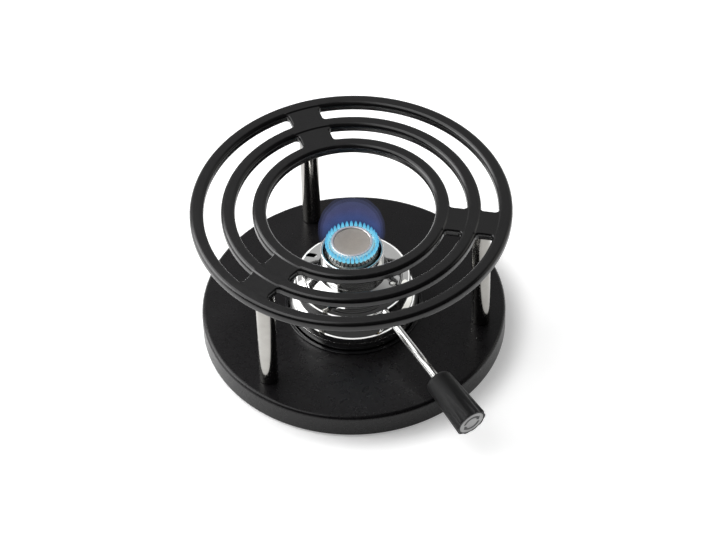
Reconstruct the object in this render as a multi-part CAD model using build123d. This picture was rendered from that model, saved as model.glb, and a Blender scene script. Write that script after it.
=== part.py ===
from build123d import *
import os

# Table-top fondue burner. A black pot stand of three rings stands on three polished
# posts over a round base plate. A refillable gas burner sits in a dish in the base,
# and a long regulator rod with a fluted knob sets its flame.
# Lengths are in millimetres and angles in degrees. The origin is the middle of the
# face that rests on the table, +Z is up and the front is towards -Y.

# Fits and cuts shared by all pieces
overrun = 2.0
fixed_fit = 0.05
running_fit = 0.06
loose_fit = 0.3

# Base plate and its non-slip pad
base_radius = 111.8
base_thickness = 18.7
base_top_edge_radius = 3.0
base_bottom_edge_radius = 1.5
pad_inset = 8.5
pad_thickness = 1.2

# Pot stand: concentric rings joined by bridges
stand_height = 122.9
stand_radius = 115.6
ring_count = 3
ring_width = 10.1
ring_pitch = 22.45
ring_height = 8.2
ring_edge_radius = 3.0
bridge_count = 3
bridge_width = 23.5
bridge_turn = -11.6
bridge_corner_radius = 2.5
bridge_drop = 0.8
bridge_groove_slope = 1.0
bridge_groove_inset = 1.6

# Posts with the studs and screws that hold them
post_radius = 6.9
post_inset = 17.5
post_chamfer = 0.6
stud_radius = 2.5
stud_depth_in_post = 10.0
stud_depth_in_stand = 5.0
screw_radius = 2.5
screw_depth_in_post = 12.0
screw_hole_radius = 2.9
screw_head_radius = 4.6
screw_head_height = 3.0
screw_socket_radius = 1.9
screw_socket_depth = 1.8
washer_radius = 5.4
washer_thickness = 1.0
hole_bottom_gap = 0.5

# Dish that carries the burner in the base
dish_clearance = 0.9
dish_rim_width = 2.5
dish_rim_edge_radius = 0.4
dish_wall = 1.0
dish_depth = 6.0
dish_floor_radius = 2.0

# Gas tank: a pressed cup closed by a domed top
tank_radius = 47.3
tank_wall = 1.0
tank_height = 26.5
tank_seam_height = 14.0
tank_foot_radius = 4.0
tank_shoulder_radius = 12.0
tank_lip_height = 3.0

# Cover over the valve
cover_inset = 5.2
cover_wall = 1.0
cover_edge_height = 13.0
cover_rise = 4.6
cover_edge_radius = 2.2
cover_seat_gap = 0.2
cover_land_width = 3.0
window_count = 4
window_turn = 61.5
window_length = 9.0
window_width = 4.0
window_place_share = 0.58

# Collar round the burner head
collar_radius = 23.0
collar_inner_radius = 21.2
collar_spigot_radius = 21.8
collar_spigot_depth = 1.4
collar_height = 20.4
collar_edge_radius = 0.8

# Regulator line, from the burner axis outwards and down
lever_turn = -57.8
lever_slope = 8.5
lever_height_over_tank = 13.3

# Valve body on the tank
valve_radius = 8.5
valve_height = 18.5
valve_stub_radius = 5.0
valve_stub_length = 5.0
valve_arm_radius = 5.0
valve_arm_length = 17.0
valve_neck_radius = 3.9
valve_neck_length = 4.0
valve_spigot_radius = 7.0
valve_spigot_height = 3.5
gas_bore_radius = 0.7
gas_inlet_offset = 3.4
needle_chamber_start = 1.5

# Needle, packing and gland nut
needle_radius = 2.0
needle_tip_radius = 0.5
needle_tip_gap = 0.4
needle_tip_length = 3.0
needle_shoulder = 20.0
needle_tang_width = 1.8
needle_tang_length = 8.0
packing_thickness = 2.2
gland_nut_width = 10.0
gland_nut_end_wall = 2.8

# Regulator rod and knob
rod_radius = 3.0
rod_spigot_radius = 2.2
rod_spigot_start = 21.4
rod_shoulder_gap = 1.0
rod_socket_spare = 1.5
rod_notch_gap = 0.8
knob_start = 109.6
knob_length = 44.0
knob_small_radius = 10.0
knob_large_radius = 12.2
knob_nose_radius = 4.0
knob_rim_radius = 0.8
flute_count = 10
flute_radius = 4.2
flute_depth = 1.2
insert_radius = 4.6
insert_length = 28.0
rod_depth_in_knob = 26.0
end_disc_radius = 9.9
end_disc_thickness = 1.2
end_disc_edge_radius = 0.3

# Gas jet, mixing tube and burner head
jet_radius = 3.2
jet_base_height = 2.5
jet_cone_height = 2.5
jet_tip_radius = 1.2
jet_bore_radius = 0.4
tube_radius = 8.0
tube_wall = 1.0
tube_height = 18.1
air_port_radius = 2.6
air_port_height = 7.0
head_radius = 19.2
head_neck_radius = 15.8
head_height = 8.4
head_skirt_height = 2.0
head_wall = 1.7
head_floor = 1.6
head_over_collar = 4.6
head_socket_wall = 1.5
head_socket_depth = 3.6
flame_slot_count = 36
flame_slot_width = 0.9
flame_slot_foot = 0.9
flame_slot_head = 1.2
cap_height = 3.6
cap_taper = 0.7
cap_edge_radius = 0.5
cap_ledge_width = 1.3
cap_ledge_height = 1.6
flame_disc_radius = 13.3
flame_disc_thickness = 1.4
flame_disc_edge_radius = 0.4

# Gas filter below the valve
filter_radius = 4.0
filter_length = 15.0

# Filler valve in the tank's underside, away from the lever
filler_turn = 122.0
filler_circle_radius = 22.0
dimple_radius = 12.0
dimple_height = 3.0
filler_flange_radius = 6.0
filler_flange_thickness = 1.6
filler_gasket_thickness = 0.8
filler_neck_radius = 4.0
filler_neck_height = 9.5
filler_bore_radius = 2.6
filler_seat_height = 3.9
filler_cap_thickness = 1.4
filler_nut_width = 12.0
filler_nut_height = 2.5
stem_radius = 1.5
stem_reach = 0.2
stem_head_radius = 2.4
stem_head_height = 1.4
stem_guide_radius = 1.0
stem_guide_length = 3.6
filler_spring_radius = 1.75
filler_spring_wire_radius = 0.25
filler_spring_turns = 4.5

# Places that follow from the sizes above
pad_radius = base_radius - pad_inset
post_circle_radius = base_radius - post_inset
dish_inner_radius = tank_radius + dish_clearance
dish_rim_radius = dish_inner_radius + dish_rim_width
cover_radius = tank_radius - cover_inset
window_circle_radius = collar_radius + window_place_share * (cover_radius - collar_radius)
base_bottom = pad_thickness
base_top = base_bottom + base_thickness
stand_bottom = stand_height - ring_height
stand_bore_radius = stand_radius - (ring_count - 1) * ring_pitch - ring_width
dish_floor_top = base_top - dish_depth
dish_floor_bottom = dish_floor_top - dish_wall
tank_bottom = dish_floor_top
tank_top = tank_bottom + tank_height
tank_seam = tank_bottom + tank_seam_height
lever_height = tank_top + lever_height_over_tank
cover_edge = tank_top + cover_edge_height
cover_land = cover_edge + cover_rise
valve_top = tank_top + valve_height
spigot_top = valve_top + valve_spigot_height
collar_top = cover_land + collar_height
head_top = collar_top + head_over_collar
head_bottom = head_top - head_height
gland_seat = valve_arm_length + valve_neck_length
gland_end = gland_seat + packing_thickness + gland_nut_end_wall
rod_shoulder = gland_end + rod_shoulder_gap
knob_end = knob_start + knob_length
filler_roof = tank_bottom + dimple_height
filler_flange_top = filler_roof - filler_gasket_thickness
filler_flange_bottom = filler_flange_top - filler_flange_thickness
filler_seat = filler_flange_bottom + filler_seat_height
filler_neck_top = filler_roof + filler_neck_height
filler_cap = filler_neck_top - filler_cap_thickness


def turned(*corners):
    """Turn a closed outline of (radius, height, corner rounding) about the upright axis."""
    points = [(radius, height) for radius, height, rounding in corners]
    roundings = [rounding for radius, height, rounding in corners]
    outline = FilletPolyline(*points, radius=roundings, close=True)
    return revolve(Plane.XZ * make_face(outline), Axis.Z)


def rod_between(radius, low, high):
    """Upright round bar between two heights."""
    return Pos(0, 0, low) * Cylinder(radius, high - low, align=(Align.CENTER, Align.CENTER, Align.MIN))


def hexagon_between(width, low, high):
    """Upright hexagonal bar between two heights, measured across its flats."""
    return Pos(0, 0, low) * extrude(RegularPolygon(width / 2, 6, major_radius=False), high - low)


def square_between(width, low, high):
    """Upright square bar between two heights."""
    return Pos(0, 0, low) * Box(width, width, high - low, align=(Align.CENTER, Align.CENTER, Align.MIN))


def around(count, turn, circle_radius, piece):
    """Copies of a piece, evenly spaced on a circle about the upright axis."""
    step = 360 / count
    return [Rot(0, 0, turn + step * index) * Pos(circle_radius, 0, 0) * piece for index in range(count)]


def on_lever(piece):
    """Lay an upright piece along the regulator line, heights becoming distances from the axis."""
    return Pos(0, 0, lever_height) * Rot(0, 0, lever_turn) * Rot(0, lever_slope, 0) * Rot(0, 90, 0) * piece


def on_filler(piece):
    """Move a piece from the upright axis to the filler valve's axis."""
    return Rot(0, 0, filler_turn) * Pos(filler_circle_radius, 0, 0) * piece


def at_posts(piece):
    """Copies of a piece on the three post axes."""
    return around(bridge_count, bridge_turn, post_circle_radius, piece)


# Stand


def make_base_plate():
    """Thick round plate with the dish recess and the counterbored screw holes."""
    plate = turned(
        (0, base_bottom, 0),
        (base_radius, base_bottom, base_bottom_edge_radius),
        (base_radius, base_top, base_top_edge_radius),
        (0, base_top, 0),
    )
    recess_radius = dish_inner_radius + dish_wall + loose_fit
    plate -= rod_between(recess_radius, dish_floor_bottom - loose_fit, base_top + overrun)
    seat = base_bottom + screw_head_height + washer_thickness
    hole = rod_between(screw_hole_radius, base_bottom - overrun, base_top + overrun)
    hole += rod_between(washer_radius + loose_fit, base_bottom - overrun, seat)
    return plate - at_posts(hole)


def make_pot_stand():
    """Cast trivet: a plate cut by ring-shaped gaps that stop at the bridges, its edges rounded."""
    plan = Circle(stand_radius) - Circle(stand_bore_radius)
    strips = around(bridge_count, bridge_turn, stand_radius / 2, Rectangle(stand_radius, bridge_width))
    gap_width = ring_pitch - ring_width
    groove_side = bridge_groove_inset - bridge_groove_slope
    grooves = []
    for index in range(ring_count - 1):
        outer = stand_radius - index * ring_pitch - ring_width
        inner = outer - gap_width
        gaps = Circle(outer) - Circle(inner) - strips
        plan -= fillet(gaps.vertices(), bridge_corner_radius)
        grooves.append(
            turned(
                (inner - bridge_groove_inset, stand_height, 0),
                (inner - groove_side, stand_height - bridge_drop, 0),
                (outer + groove_side, stand_height - bridge_drop, 0),
                (outer + bridge_groove_inset, stand_height, 0),
                (outer + bridge_groove_inset, stand_height + overrun, 0),
                (inner - bridge_groove_inset, stand_height + overrun, 0),
            )
        )
    plate = extrude(Pos(0, 0, stand_bottom) * plan, ring_height)
    faces = plate.faces().sort_by(Axis.Z)
    plate = fillet(faces[0].edges() + faces[-1].edges(), ring_edge_radius)
    hole_top = stand_bottom + stud_depth_in_stand + hole_bottom_gap
    holes = at_posts(rod_between(stud_radius + fixed_fit, stand_bottom - overrun, hole_top))
    return plate - grooves - holes


def make_post():
    """Polished post with a screw hole at its foot and a stud hole at its head."""
    post = turned(
        (0, base_top, 0),
        (post_radius - post_chamfer, base_top, 0),
        (post_radius, base_top + post_chamfer, 0),
        (post_radius, stand_bottom - post_chamfer, 0),
        (post_radius - post_chamfer, stand_bottom, 0),
        (0, stand_bottom, 0),
    )
    foot_hole_top = base_top + screw_depth_in_post + hole_bottom_gap
    head_hole_bottom = stand_bottom - stud_depth_in_post - hole_bottom_gap
    post -= rod_between(screw_radius + fixed_fit, base_top - overrun, foot_hole_top)
    post -= rod_between(stud_radius + fixed_fit, head_hole_bottom, stand_bottom + overrun)
    return post


def make_post_stud():
    """Headless stud between a post and the pot stand."""
    return rod_between(stud_radius, stand_bottom - stud_depth_in_post, stand_bottom + stud_depth_in_stand)


def make_base_screw():
    """Socket-head screw that holds a post from below."""
    shank_foot = base_bottom + screw_head_height
    screw = rod_between(screw_head_radius, base_bottom, shank_foot)
    screw += rod_between(screw_radius, shank_foot, base_top + screw_depth_in_post)
    socket_width = 2 * screw_socket_radius
    return screw - hexagon_between(socket_width, base_bottom - overrun, base_bottom + screw_socket_depth)


def make_base_washer():
    """Washer between a screw head and the base."""
    low = base_bottom + screw_head_height
    high = low + washer_thickness
    bore = rod_between(screw_hole_radius, low - overrun, high + overrun)
    return rod_between(washer_radius, low, high) - bore


def make_pad():
    """Non-slip pad over the underside of the base."""
    return rod_between(pad_radius, 0, base_bottom)


# Dish


def make_dish():
    """Shallow pressed dish whose rim lies on the base."""
    wall_radius = dish_inner_radius + dish_wall
    rim_top = base_top + dish_wall
    return turned(
        (0, dish_floor_bottom, 0),
        (wall_radius, dish_floor_bottom, dish_floor_radius + dish_wall),
        (wall_radius, base_top, 0),
        (dish_rim_radius, base_top, 0),
        (dish_rim_radius, rim_top, dish_rim_edge_radius),
        (dish_inner_radius, rim_top, dish_rim_edge_radius),
        (dish_inner_radius, dish_floor_top, dish_floor_radius),
        (0, dish_floor_top, 0),
    )


# Tank


def make_tank_cup():
    """Pressed lower half of the tank, with a raised dimple for the filler valve."""
    inner_radius = tank_radius - tank_wall
    floor_top = tank_bottom + tank_wall
    cup = turned(
        (0, tank_bottom, 0),
        (tank_radius, tank_bottom, tank_foot_radius),
        (tank_radius, tank_seam, 0),
        (inner_radius, tank_seam, 0),
        (inner_radius, floor_top, tank_foot_radius - tank_wall),
        (0, floor_top, 0),
    )
    cup += on_filler(rod_between(dimple_radius + tank_wall, tank_bottom, filler_roof + tank_wall))
    cup -= on_filler(rod_between(dimple_radius, tank_bottom - overrun, filler_roof))
    neck_hole = rod_between(filler_neck_radius + fixed_fit, filler_roof - overrun, filler_roof + overrun)
    return cup - on_filler(neck_hole)


def make_tank_top():
    """Domed upper half of the tank, its lip inside the cup."""
    lip_radius = tank_radius - tank_wall - fixed_fit
    inner_radius = lip_radius - tank_wall
    hole_radius = valve_stub_radius + fixed_fit
    return turned(
        (hole_radius, tank_top - tank_wall, 0),
        (hole_radius, tank_top, 0),
        (tank_radius, tank_top, tank_shoulder_radius),
        (tank_radius, tank_seam, 0),
        (lip_radius, tank_seam, 0),
        (lip_radius, tank_seam - tank_lip_height, 0),
        (inner_radius, tank_seam - tank_lip_height, 0),
        (inner_radius, tank_top - tank_wall, tank_shoulder_radius - tank_wall - tank_wall),
    )


def make_filter():
    """Felt filter below the valve's stub."""
    top = tank_top - valve_stub_length
    return rod_between(filter_radius, top - filter_length, top)


# Cover and collar


def make_cover():
    """Pressed cover on the tank's shoulder, with air windows and a notch for the rod."""
    inner_radius = cover_radius - cover_wall
    shoulder_centre_radius = tank_radius - tank_shoulder_radius
    drop = (tank_shoulder_radius**2 - (inner_radius - shoulder_centre_radius) ** 2) ** 0.5
    skirt_bottom = tank_top - tank_shoulder_radius + drop + cover_seat_gap
    hole_radius = collar_spigot_radius + fixed_fit
    land_radius = collar_radius + cover_land_width
    cover = turned(
        (cover_radius, skirt_bottom, 0),
        (cover_radius, cover_edge, cover_edge_radius),
        (land_radius, cover_land, 0),
        (hole_radius, cover_land, 0),
        (hole_radius, cover_land - cover_wall, 0),
        (land_radius, cover_land - cover_wall, 0),
        (inner_radius, cover_edge - cover_wall, cover_edge_radius - cover_wall),
        (inner_radius, skirt_bottom, 0),
    )
    window = SlotOverall(window_length, window_width)
    window_cut = extrude(Pos(0, 0, cover_edge - cover_wall) * window, cover_rise + overrun)
    cover -= around(window_count, window_turn, window_circle_radius, window_cut)
    notch_radius = rod_radius + rod_notch_gap
    notch_start = (collar_radius + cover_radius) / 2
    notch_end = cover_radius + cover_edge_height
    notch = rod_between(notch_radius, notch_start, notch_end)
    notch += Pos(0, 0, notch_start) * Box(
        tank_shoulder_radius,
        2 * notch_radius,
        notch_end - notch_start,
        align=(Align.MIN, Align.CENTER, Align.MIN),
    )
    return cover - on_lever(notch)


def make_collar():
    """Tall collar round the burner head, its spigot in the cover."""
    return turned(
        (collar_inner_radius, cover_land - collar_spigot_depth, 0),
        (collar_spigot_radius, cover_land - collar_spigot_depth, 0),
        (collar_spigot_radius, cover_land, 0),
        (collar_radius, cover_land, 0),
        (collar_radius, collar_top, collar_edge_radius),
        (collar_inner_radius, collar_top, collar_edge_radius),
    )


# Valve


def make_valve_body():
    """Brass valve: stub in the tank, arm for the needle and spigot for the mixing tube."""
    body = rod_between(valve_radius, tank_top, valve_top)
    body += rod_between(valve_stub_radius, tank_top - valve_stub_length, tank_top)
    body += rod_between(valve_spigot_radius - fixed_fit, valve_top, spigot_top)
    body += on_lever(rod_between(valve_arm_radius, 0, valve_arm_length))
    body += on_lever(rod_between(valve_neck_radius, valve_arm_length, gland_seat))
    body -= on_lever(rod_between(needle_radius + running_fit, needle_chamber_start, gland_seat + overrun))
    body -= on_lever(rod_between(gas_bore_radius, 0, needle_chamber_start + overrun))
    body -= rod_between(gas_bore_radius, lever_height, spigot_top + overrun)
    inlet = rod_between(gas_bore_radius, tank_top - valve_stub_length - overrun, lever_height)
    return body - Rot(0, 0, lever_turn) * Pos(gas_inlet_offset, 0, 0) * inlet


def make_needle():
    """Needle with a conical tip and a square tang that slides in the rod's socket."""
    tip = needle_chamber_start + needle_tip_gap
    needle = turned(
        (0, tip, 0),
        (needle_tip_radius, tip, 0),
        (needle_radius, tip + needle_tip_length, 0),
        (needle_radius, needle_shoulder, 0),
        (0, needle_shoulder, 0),
    )
    needle += square_between(needle_tang_width, needle_shoulder, needle_shoulder + needle_tang_length)
    return on_lever(needle)


def make_packing():
    """Packing ring that seals the rod."""
    ring = rod_between(valve_neck_radius, gland_seat, gland_seat + packing_thickness)
    bore = rod_between(rod_spigot_radius + running_fit, gland_seat - overrun, gland_end)
    return on_lever(ring - bore)


def make_gland_nut():
    """Hexagonal cap nut that holds the packing."""
    nut = hexagon_between(gland_nut_width, valve_arm_length, gland_end)
    thread_end = gland_seat + packing_thickness
    nut -= rod_between(valve_neck_radius + fixed_fit, valve_arm_length - overrun, thread_end)
    nut -= rod_between(rod_spigot_radius + running_fit, thread_end - overrun, gland_end + overrun)
    return on_lever(nut)


def make_jet():
    """Gas jet on top of the valve."""
    cone_foot = spigot_top + jet_base_height
    tip = cone_foot + jet_cone_height
    return turned(
        (jet_bore_radius, spigot_top, 0),
        (jet_radius, spigot_top, 0),
        (jet_radius, cone_foot, 0),
        (jet_tip_radius, tip, 0),
        (jet_bore_radius, tip, 0),
    )


# Burner head


def make_mixing_tube():
    """Tube over the jet, with air ports round its foot."""
    top = valve_top + tube_height
    tube = rod_between(tube_radius, valve_top, top)
    tube -= rod_between(tube_radius - tube_wall, valve_top - overrun, top + overrun)
    port = Rot(0, 90, 0) * Cylinder(air_port_radius, 2 * tube_radius + overrun)
    for turn in (lever_turn, lever_turn + 90):
        tube -= Pos(0, 0, valve_top + air_port_height) * Rot(0, 0, turn) * port
    return tube


def make_burner_head():
    """Conical crown with a ring of flame slots, seated on the mixing tube."""
    socket_radius = tube_radius + fixed_fit
    sleeve_radius = socket_radius + head_socket_wall
    floor_top = head_bottom + head_floor
    skirt_top = head_bottom + head_skirt_height
    crown = turned(
        (socket_radius, head_bottom - head_socket_depth, 0),
        (sleeve_radius, head_bottom - head_socket_depth, 0),
        (sleeve_radius, head_bottom, 0),
        (head_radius, head_bottom, 0),
        (head_radius, skirt_top, 0),
        (head_neck_radius, head_top, 0),
        (head_neck_radius - head_wall, head_top, 0),
        (head_radius - head_wall, floor_top, 0),
        (socket_radius, floor_top, 0),
    )
    slot_foot = skirt_top + flame_slot_foot
    slot_height = head_top - flame_slot_head - slot_foot
    slot_radius = (head_radius + head_neck_radius) / 2
    slot = Pos(0, 0, slot_foot) * Box(
        2 * (head_radius - head_neck_radius + head_wall),
        flame_slot_width,
        slot_height,
        align=(Align.CENTER, Align.CENTER, Align.MIN),
    )
    return crown - around(flame_slot_count, 0, slot_radius, slot)


def make_cap_ring():
    """Bright ring on the crown that frames the flame disc."""
    top = head_top + cap_height
    bore_radius = flame_disc_radius + fixed_fit
    ledge_top = head_top + cap_ledge_height
    return turned(
        (bore_radius - cap_ledge_width, head_top, 0),
        (head_neck_radius, head_top, 0),
        (head_neck_radius, ledge_top, cap_edge_radius),
        (head_neck_radius - cap_taper, top, cap_edge_radius),
        (bore_radius, top, 0),
        (bore_radius, ledge_top, 0),
        (bore_radius - cap_ledge_width, ledge_top, 0),
    )


def make_flame_disc():
    """Flat disc that closes the burner head."""
    low = head_top + cap_ledge_height
    return turned(
        (0, low, 0),
        (flame_disc_radius, low, 0),
        (flame_disc_radius, low + flame_disc_thickness, flame_disc_edge_radius),
        (0, low + flame_disc_thickness, 0),
    )


# Regulator


def make_rod():
    """Polished regulator rod with a spigot in the gland and a square socket for the needle."""
    rod_end = knob_start + rod_depth_in_knob
    rod = rod_between(rod_spigot_radius, rod_spigot_start, rod_shoulder)
    rod += rod_between(rod_radius, rod_shoulder, rod_end)
    socket_end = needle_shoulder + needle_tang_length + rod_socket_spare
    socket_width = needle_tang_width + 2 * running_fit
    return on_lever(rod - square_between(socket_width, rod_spigot_start - overrun, socket_end))


def make_knob_insert():
    """Brass bush in the knob that grips the rod."""
    insert = rod_between(insert_radius, knob_start, knob_start + insert_length)
    bore = rod_between(rod_radius + fixed_fit, knob_start - overrun, knob_start + rod_depth_in_knob)
    return on_lever(insert - bore)


def make_knob():
    """Tapered knob whose flutes deepen towards its end."""
    knob = turned(
        (0, knob_start, 0),
        (knob_small_radius, knob_start, knob_nose_radius),
        (knob_large_radius, knob_end, knob_rim_radius),
        (0, knob_end, 0),
    )
    flute_circle = knob_large_radius - flute_depth + flute_radius
    flute = rod_between(flute_radius, knob_start - overrun, knob_end + overrun)
    knob -= around(flute_count, 0, flute_circle, flute)
    knob -= rod_between(insert_radius + fixed_fit, knob_start - overrun, knob_start + insert_length)
    knob -= rod_between(end_disc_radius + fixed_fit, knob_end - end_disc_thickness, knob_end + overrun)
    return on_lever(knob)


def make_end_disc():
    """Bright disc in the end of the knob."""
    low = knob_end - end_disc_thickness
    disc = turned(
        (0, low, 0),
        (end_disc_radius, low, 0),
        (end_disc_radius, knob_end, end_disc_edge_radius),
        (0, knob_end, 0),
    )
    return on_lever(disc)


# Filler valve


def make_filler_body():
    """Brass filler valve through the tank's underside."""
    body = turned(
        (stem_radius + running_fit, filler_flange_bottom, 0),
        (filler_flange_radius, filler_flange_bottom, 0),
        (filler_flange_radius, filler_flange_top, 0),
        (filler_neck_radius, filler_flange_top, 0),
        (filler_neck_radius, filler_neck_top, 0),
        (stem_guide_radius + running_fit, filler_neck_top, 0),
        (stem_guide_radius + running_fit, filler_cap, 0),
        (filler_bore_radius, filler_cap, 0),
        (filler_bore_radius, filler_seat, 0),
        (stem_radius + running_fit, filler_seat, 0),
    )
    return on_filler(body)


def make_filler_gasket():
    """Gasket between the filler's flange and the tank."""
    ring = rod_between(filler_flange_radius, filler_flange_top, filler_roof)
    bore = rod_between(filler_neck_radius + fixed_fit, filler_flange_top - overrun, filler_roof + overrun)
    return on_filler(ring - bore)


def make_filler_nut():
    """Hexagonal nut that holds the filler from inside the tank."""
    low = filler_roof + tank_wall
    high = low + filler_nut_height
    nut = hexagon_between(filler_nut_width, low, high)
    nut -= rod_between(filler_neck_radius + fixed_fit, low - overrun, high + overrun)
    return on_filler(nut)


def make_filler_stem():
    """Stem that a filling nozzle pushes up off its seat."""
    head_end = filler_seat + stem_head_height
    stem = rod_between(stem_radius, filler_flange_bottom - stem_reach, filler_seat)
    stem += rod_between(stem_head_radius, filler_seat, head_end)
    stem += rod_between(stem_guide_radius, head_end, head_end + stem_guide_length)
    return on_filler(stem)


def make_filler_spring():
    """Coil spring between the stem's head and the filler's cap."""
    low = filler_seat + stem_head_height + filler_spring_wire_radius
    high = filler_cap - filler_spring_wire_radius
    pitch = (high - low) / filler_spring_turns
    print("filler spring gap between turns:", round(pitch - 2 * filler_spring_wire_radius, 2))
    coil = Pos(0, 0, low) * Helix(pitch, high - low, filler_spring_radius)
    section = Plane(coil @ 0, z_dir=coil % 0) * Circle(filler_spring_wire_radius)
    return on_filler(sweep(section, coil))


post = make_post()
post_right, post_back, post_left = at_posts(post)

nodes = {
    "non_slip_pad": make_pad(),
    "base_plate": make_base_plate(),
    "post_right": post_right,
    "post_back": post_back,
    "post_left": post_left,
    "post_studs": Compound(at_posts(make_post_stud())),
    "base_screws": Compound(at_posts(make_base_screw())),
    "base_washers": Compound(at_posts(make_base_washer())),
    "pot_stand": make_pot_stand(),
    "burner_dish": make_dish(),
    "tank_cup": make_tank_cup(),
    "tank_top": make_tank_top(),
    "gas_filter": make_filter(),
    "burner_cover": make_cover(),
    "flame_collar": make_collar(),
    "valve_body": make_valve_body(),
    "gland_packing": make_packing(),
    "gland_nut": make_gland_nut(),
    "gas_jet": make_jet(),
    "mixing_tube": make_mixing_tube(),
    "burner_head": make_burner_head(),
    "cap_ring": make_cap_ring(),
    "flame_disc": make_flame_disc(),
    "filler_body": make_filler_body(),
    "filler_gasket": make_filler_gasket(),
    "filler_nut": make_filler_nut(),
    "filler_stem": make_filler_stem(),
    "filler_spring": make_filler_spring(),
    "valve_needle": make_needle(),
    "regulator_rod": make_rod(),
    "knob_insert": make_knob_insert(),
    "regulator_knob": make_knob(),
    "knob_end_disc": make_end_disc(),
}

os.makedirs("parts", exist_ok=True)
for name, solid in nodes.items():
    export_step(solid, f"parts/{name}.step")
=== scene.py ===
"""Studio scene of a table-top fondue burner.

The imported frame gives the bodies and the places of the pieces. Each class below builds one
sub-assembly in fine meshes round that frame, dresses it and lets it ride on its body.
Sizes are in millimetres unless a name says otherwise; the front is towards -Y.
"""

import logging
import math
from dataclasses import dataclass, field
from enum import Enum
from functools import partial
from typing import Callable, ClassVar, Sequence

import bmesh
import bpy
from mathutils import Matrix, Vector

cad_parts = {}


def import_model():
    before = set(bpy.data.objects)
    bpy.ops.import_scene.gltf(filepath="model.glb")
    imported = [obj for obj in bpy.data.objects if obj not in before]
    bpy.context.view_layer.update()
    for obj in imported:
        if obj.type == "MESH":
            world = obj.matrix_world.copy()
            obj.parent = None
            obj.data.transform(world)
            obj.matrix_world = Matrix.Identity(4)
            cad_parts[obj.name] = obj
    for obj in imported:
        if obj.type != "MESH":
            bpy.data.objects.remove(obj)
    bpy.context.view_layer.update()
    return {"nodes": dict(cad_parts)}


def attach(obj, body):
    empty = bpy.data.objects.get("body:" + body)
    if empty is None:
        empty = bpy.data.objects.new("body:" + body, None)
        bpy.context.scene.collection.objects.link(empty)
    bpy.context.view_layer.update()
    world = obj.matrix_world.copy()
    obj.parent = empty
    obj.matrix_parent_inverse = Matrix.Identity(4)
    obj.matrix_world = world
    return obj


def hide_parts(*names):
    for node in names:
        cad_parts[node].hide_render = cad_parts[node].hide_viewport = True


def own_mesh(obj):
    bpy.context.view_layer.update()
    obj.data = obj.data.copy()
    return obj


MM = 0.001
FULL_TURN = 2 * math.pi
QUARTER_TURN = math.pi / 2
RIGHT_ANGLE = 90.0
ROUND_SEGMENTS = 176
ARC_STEPS = 8
SMOOTH_ANGLE = math.radians(32)
LOG = logging.getLogger("fondue_burner")

Corner = tuple[float, float, float]
Point = tuple[float, float]
Colour = tuple[float, float, float]
Stop = tuple[float, Colour]

NOISE_SPAN: Point = (0.3, 0.7)


# Meshes


def new_piece(name: str, shape: bmesh.types.BMesh) -> bpy.types.Object:
    """Turn a finished shape into an object of the scene.

    Args:
        name: name of the new object.
        shape: the shape, in metres; it is freed here.

    Returns:
        The object, with its faces pointing outwards.
    """
    bmesh.ops.recalc_face_normals(shape, faces=shape.faces)
    mesh = bpy.data.meshes.new(name)
    shape.to_mesh(mesh)
    shape.free()
    piece = bpy.data.objects.new(name, mesh)
    bpy.context.scene.collection.objects.link(piece)
    return piece


def rounded_outline(corners: Sequence[Corner], steps: int = ARC_STEPS) -> list[Point]:
    """Round the corners of a closed outline.

    Args:
        corners: radius, height and rounding of each corner.
        steps: straight runs that a rounded corner is divided into.

    Returns:
        The points of the rounded outline.
    """
    outline: list[Point] = []
    for index, (radius, height, rounding) in enumerate(corners):
        here = Vector((radius, height))
        if rounding <= 0:
            outline.append((radius, height))
            continue
        before = (Vector(corners[index - 1][:2]) - here).normalized()
        after = (Vector(corners[(index + 1) % len(corners)][:2]) - here).normalized()
        half = before.angle(after) / 2
        reach = rounding / math.tan(half)
        centre = here + (before + after).normalized() * rounding / math.sin(half)
        first = here + before * reach - centre
        last = here + after * reach - centre
        start = math.atan2(first.y, first.x)
        sweep = math.remainder(math.atan2(last.y, last.x) - start, FULL_TURN)
        for step in range(steps + 1):
            angle = start + sweep * step / steps
            spot = (centre.x + rounding * math.cos(angle), centre.y + rounding * math.sin(angle))
            outline.append(spot)
    return outline


def divided_outline(outline: Sequence[Point], longest: float) -> list[Point]:
    """Divide the long runs of a closed outline.

    Args:
        outline: the points of the outline.
        longest: the longest run that is left as it is.

    Returns:
        The outline with points added along its long runs.
    """
    divided: list[Point] = []
    for index, first in enumerate(outline):
        last = outline[(index + 1) % len(outline)]
        parts = max(1, math.ceil(math.dist(first, last) / longest))
        for part in range(parts):
            share = part / parts
            divided.append(tuple(a + (b - a) * share for a, b in zip(first, last)))
    return divided


def turned_piece(
    name: str,
    corners: Sequence[Corner],
    segments: int = ROUND_SEGMENTS,
    longest: float = 0.0,
    reshape: Callable[[float, float, float], float] | None = None,
) -> bpy.types.Object:
    """Turn a closed outline about the upright axis.

    Args:
        name: name of the new object.
        corners: radius, height and rounding of the outline's corners.
        segments: copies of the outline in a full turn.
        longest: longest run of the outline, or zero to leave its runs whole.
        reshape: gives a new radius for a radius, height and angle, where the form isn't round.

    Returns:
        The turned object, closed and not yet smoothed.
    """
    outline = rounded_outline(corners)
    if longest > 0:
        outline = divided_outline(outline, longest)
    shape = bmesh.new()
    rings = []
    for radius, height in outline:
        if radius <= 0:
            rings.append([shape.verts.new((0, 0, height * MM))])
            continue
        ring = []
        for segment in range(segments):
            angle = FULL_TURN * segment / segments
            reach = (reshape(radius, height, angle) if reshape else radius) * MM
            ring.append(shape.verts.new((*polar(reach, angle), height * MM)))
        rings.append(ring)
    for index, ring in enumerate(rings):
        join_rings(shape, ring, rings[(index + 1) % len(rings)])
    return new_piece(name, shape)


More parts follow.
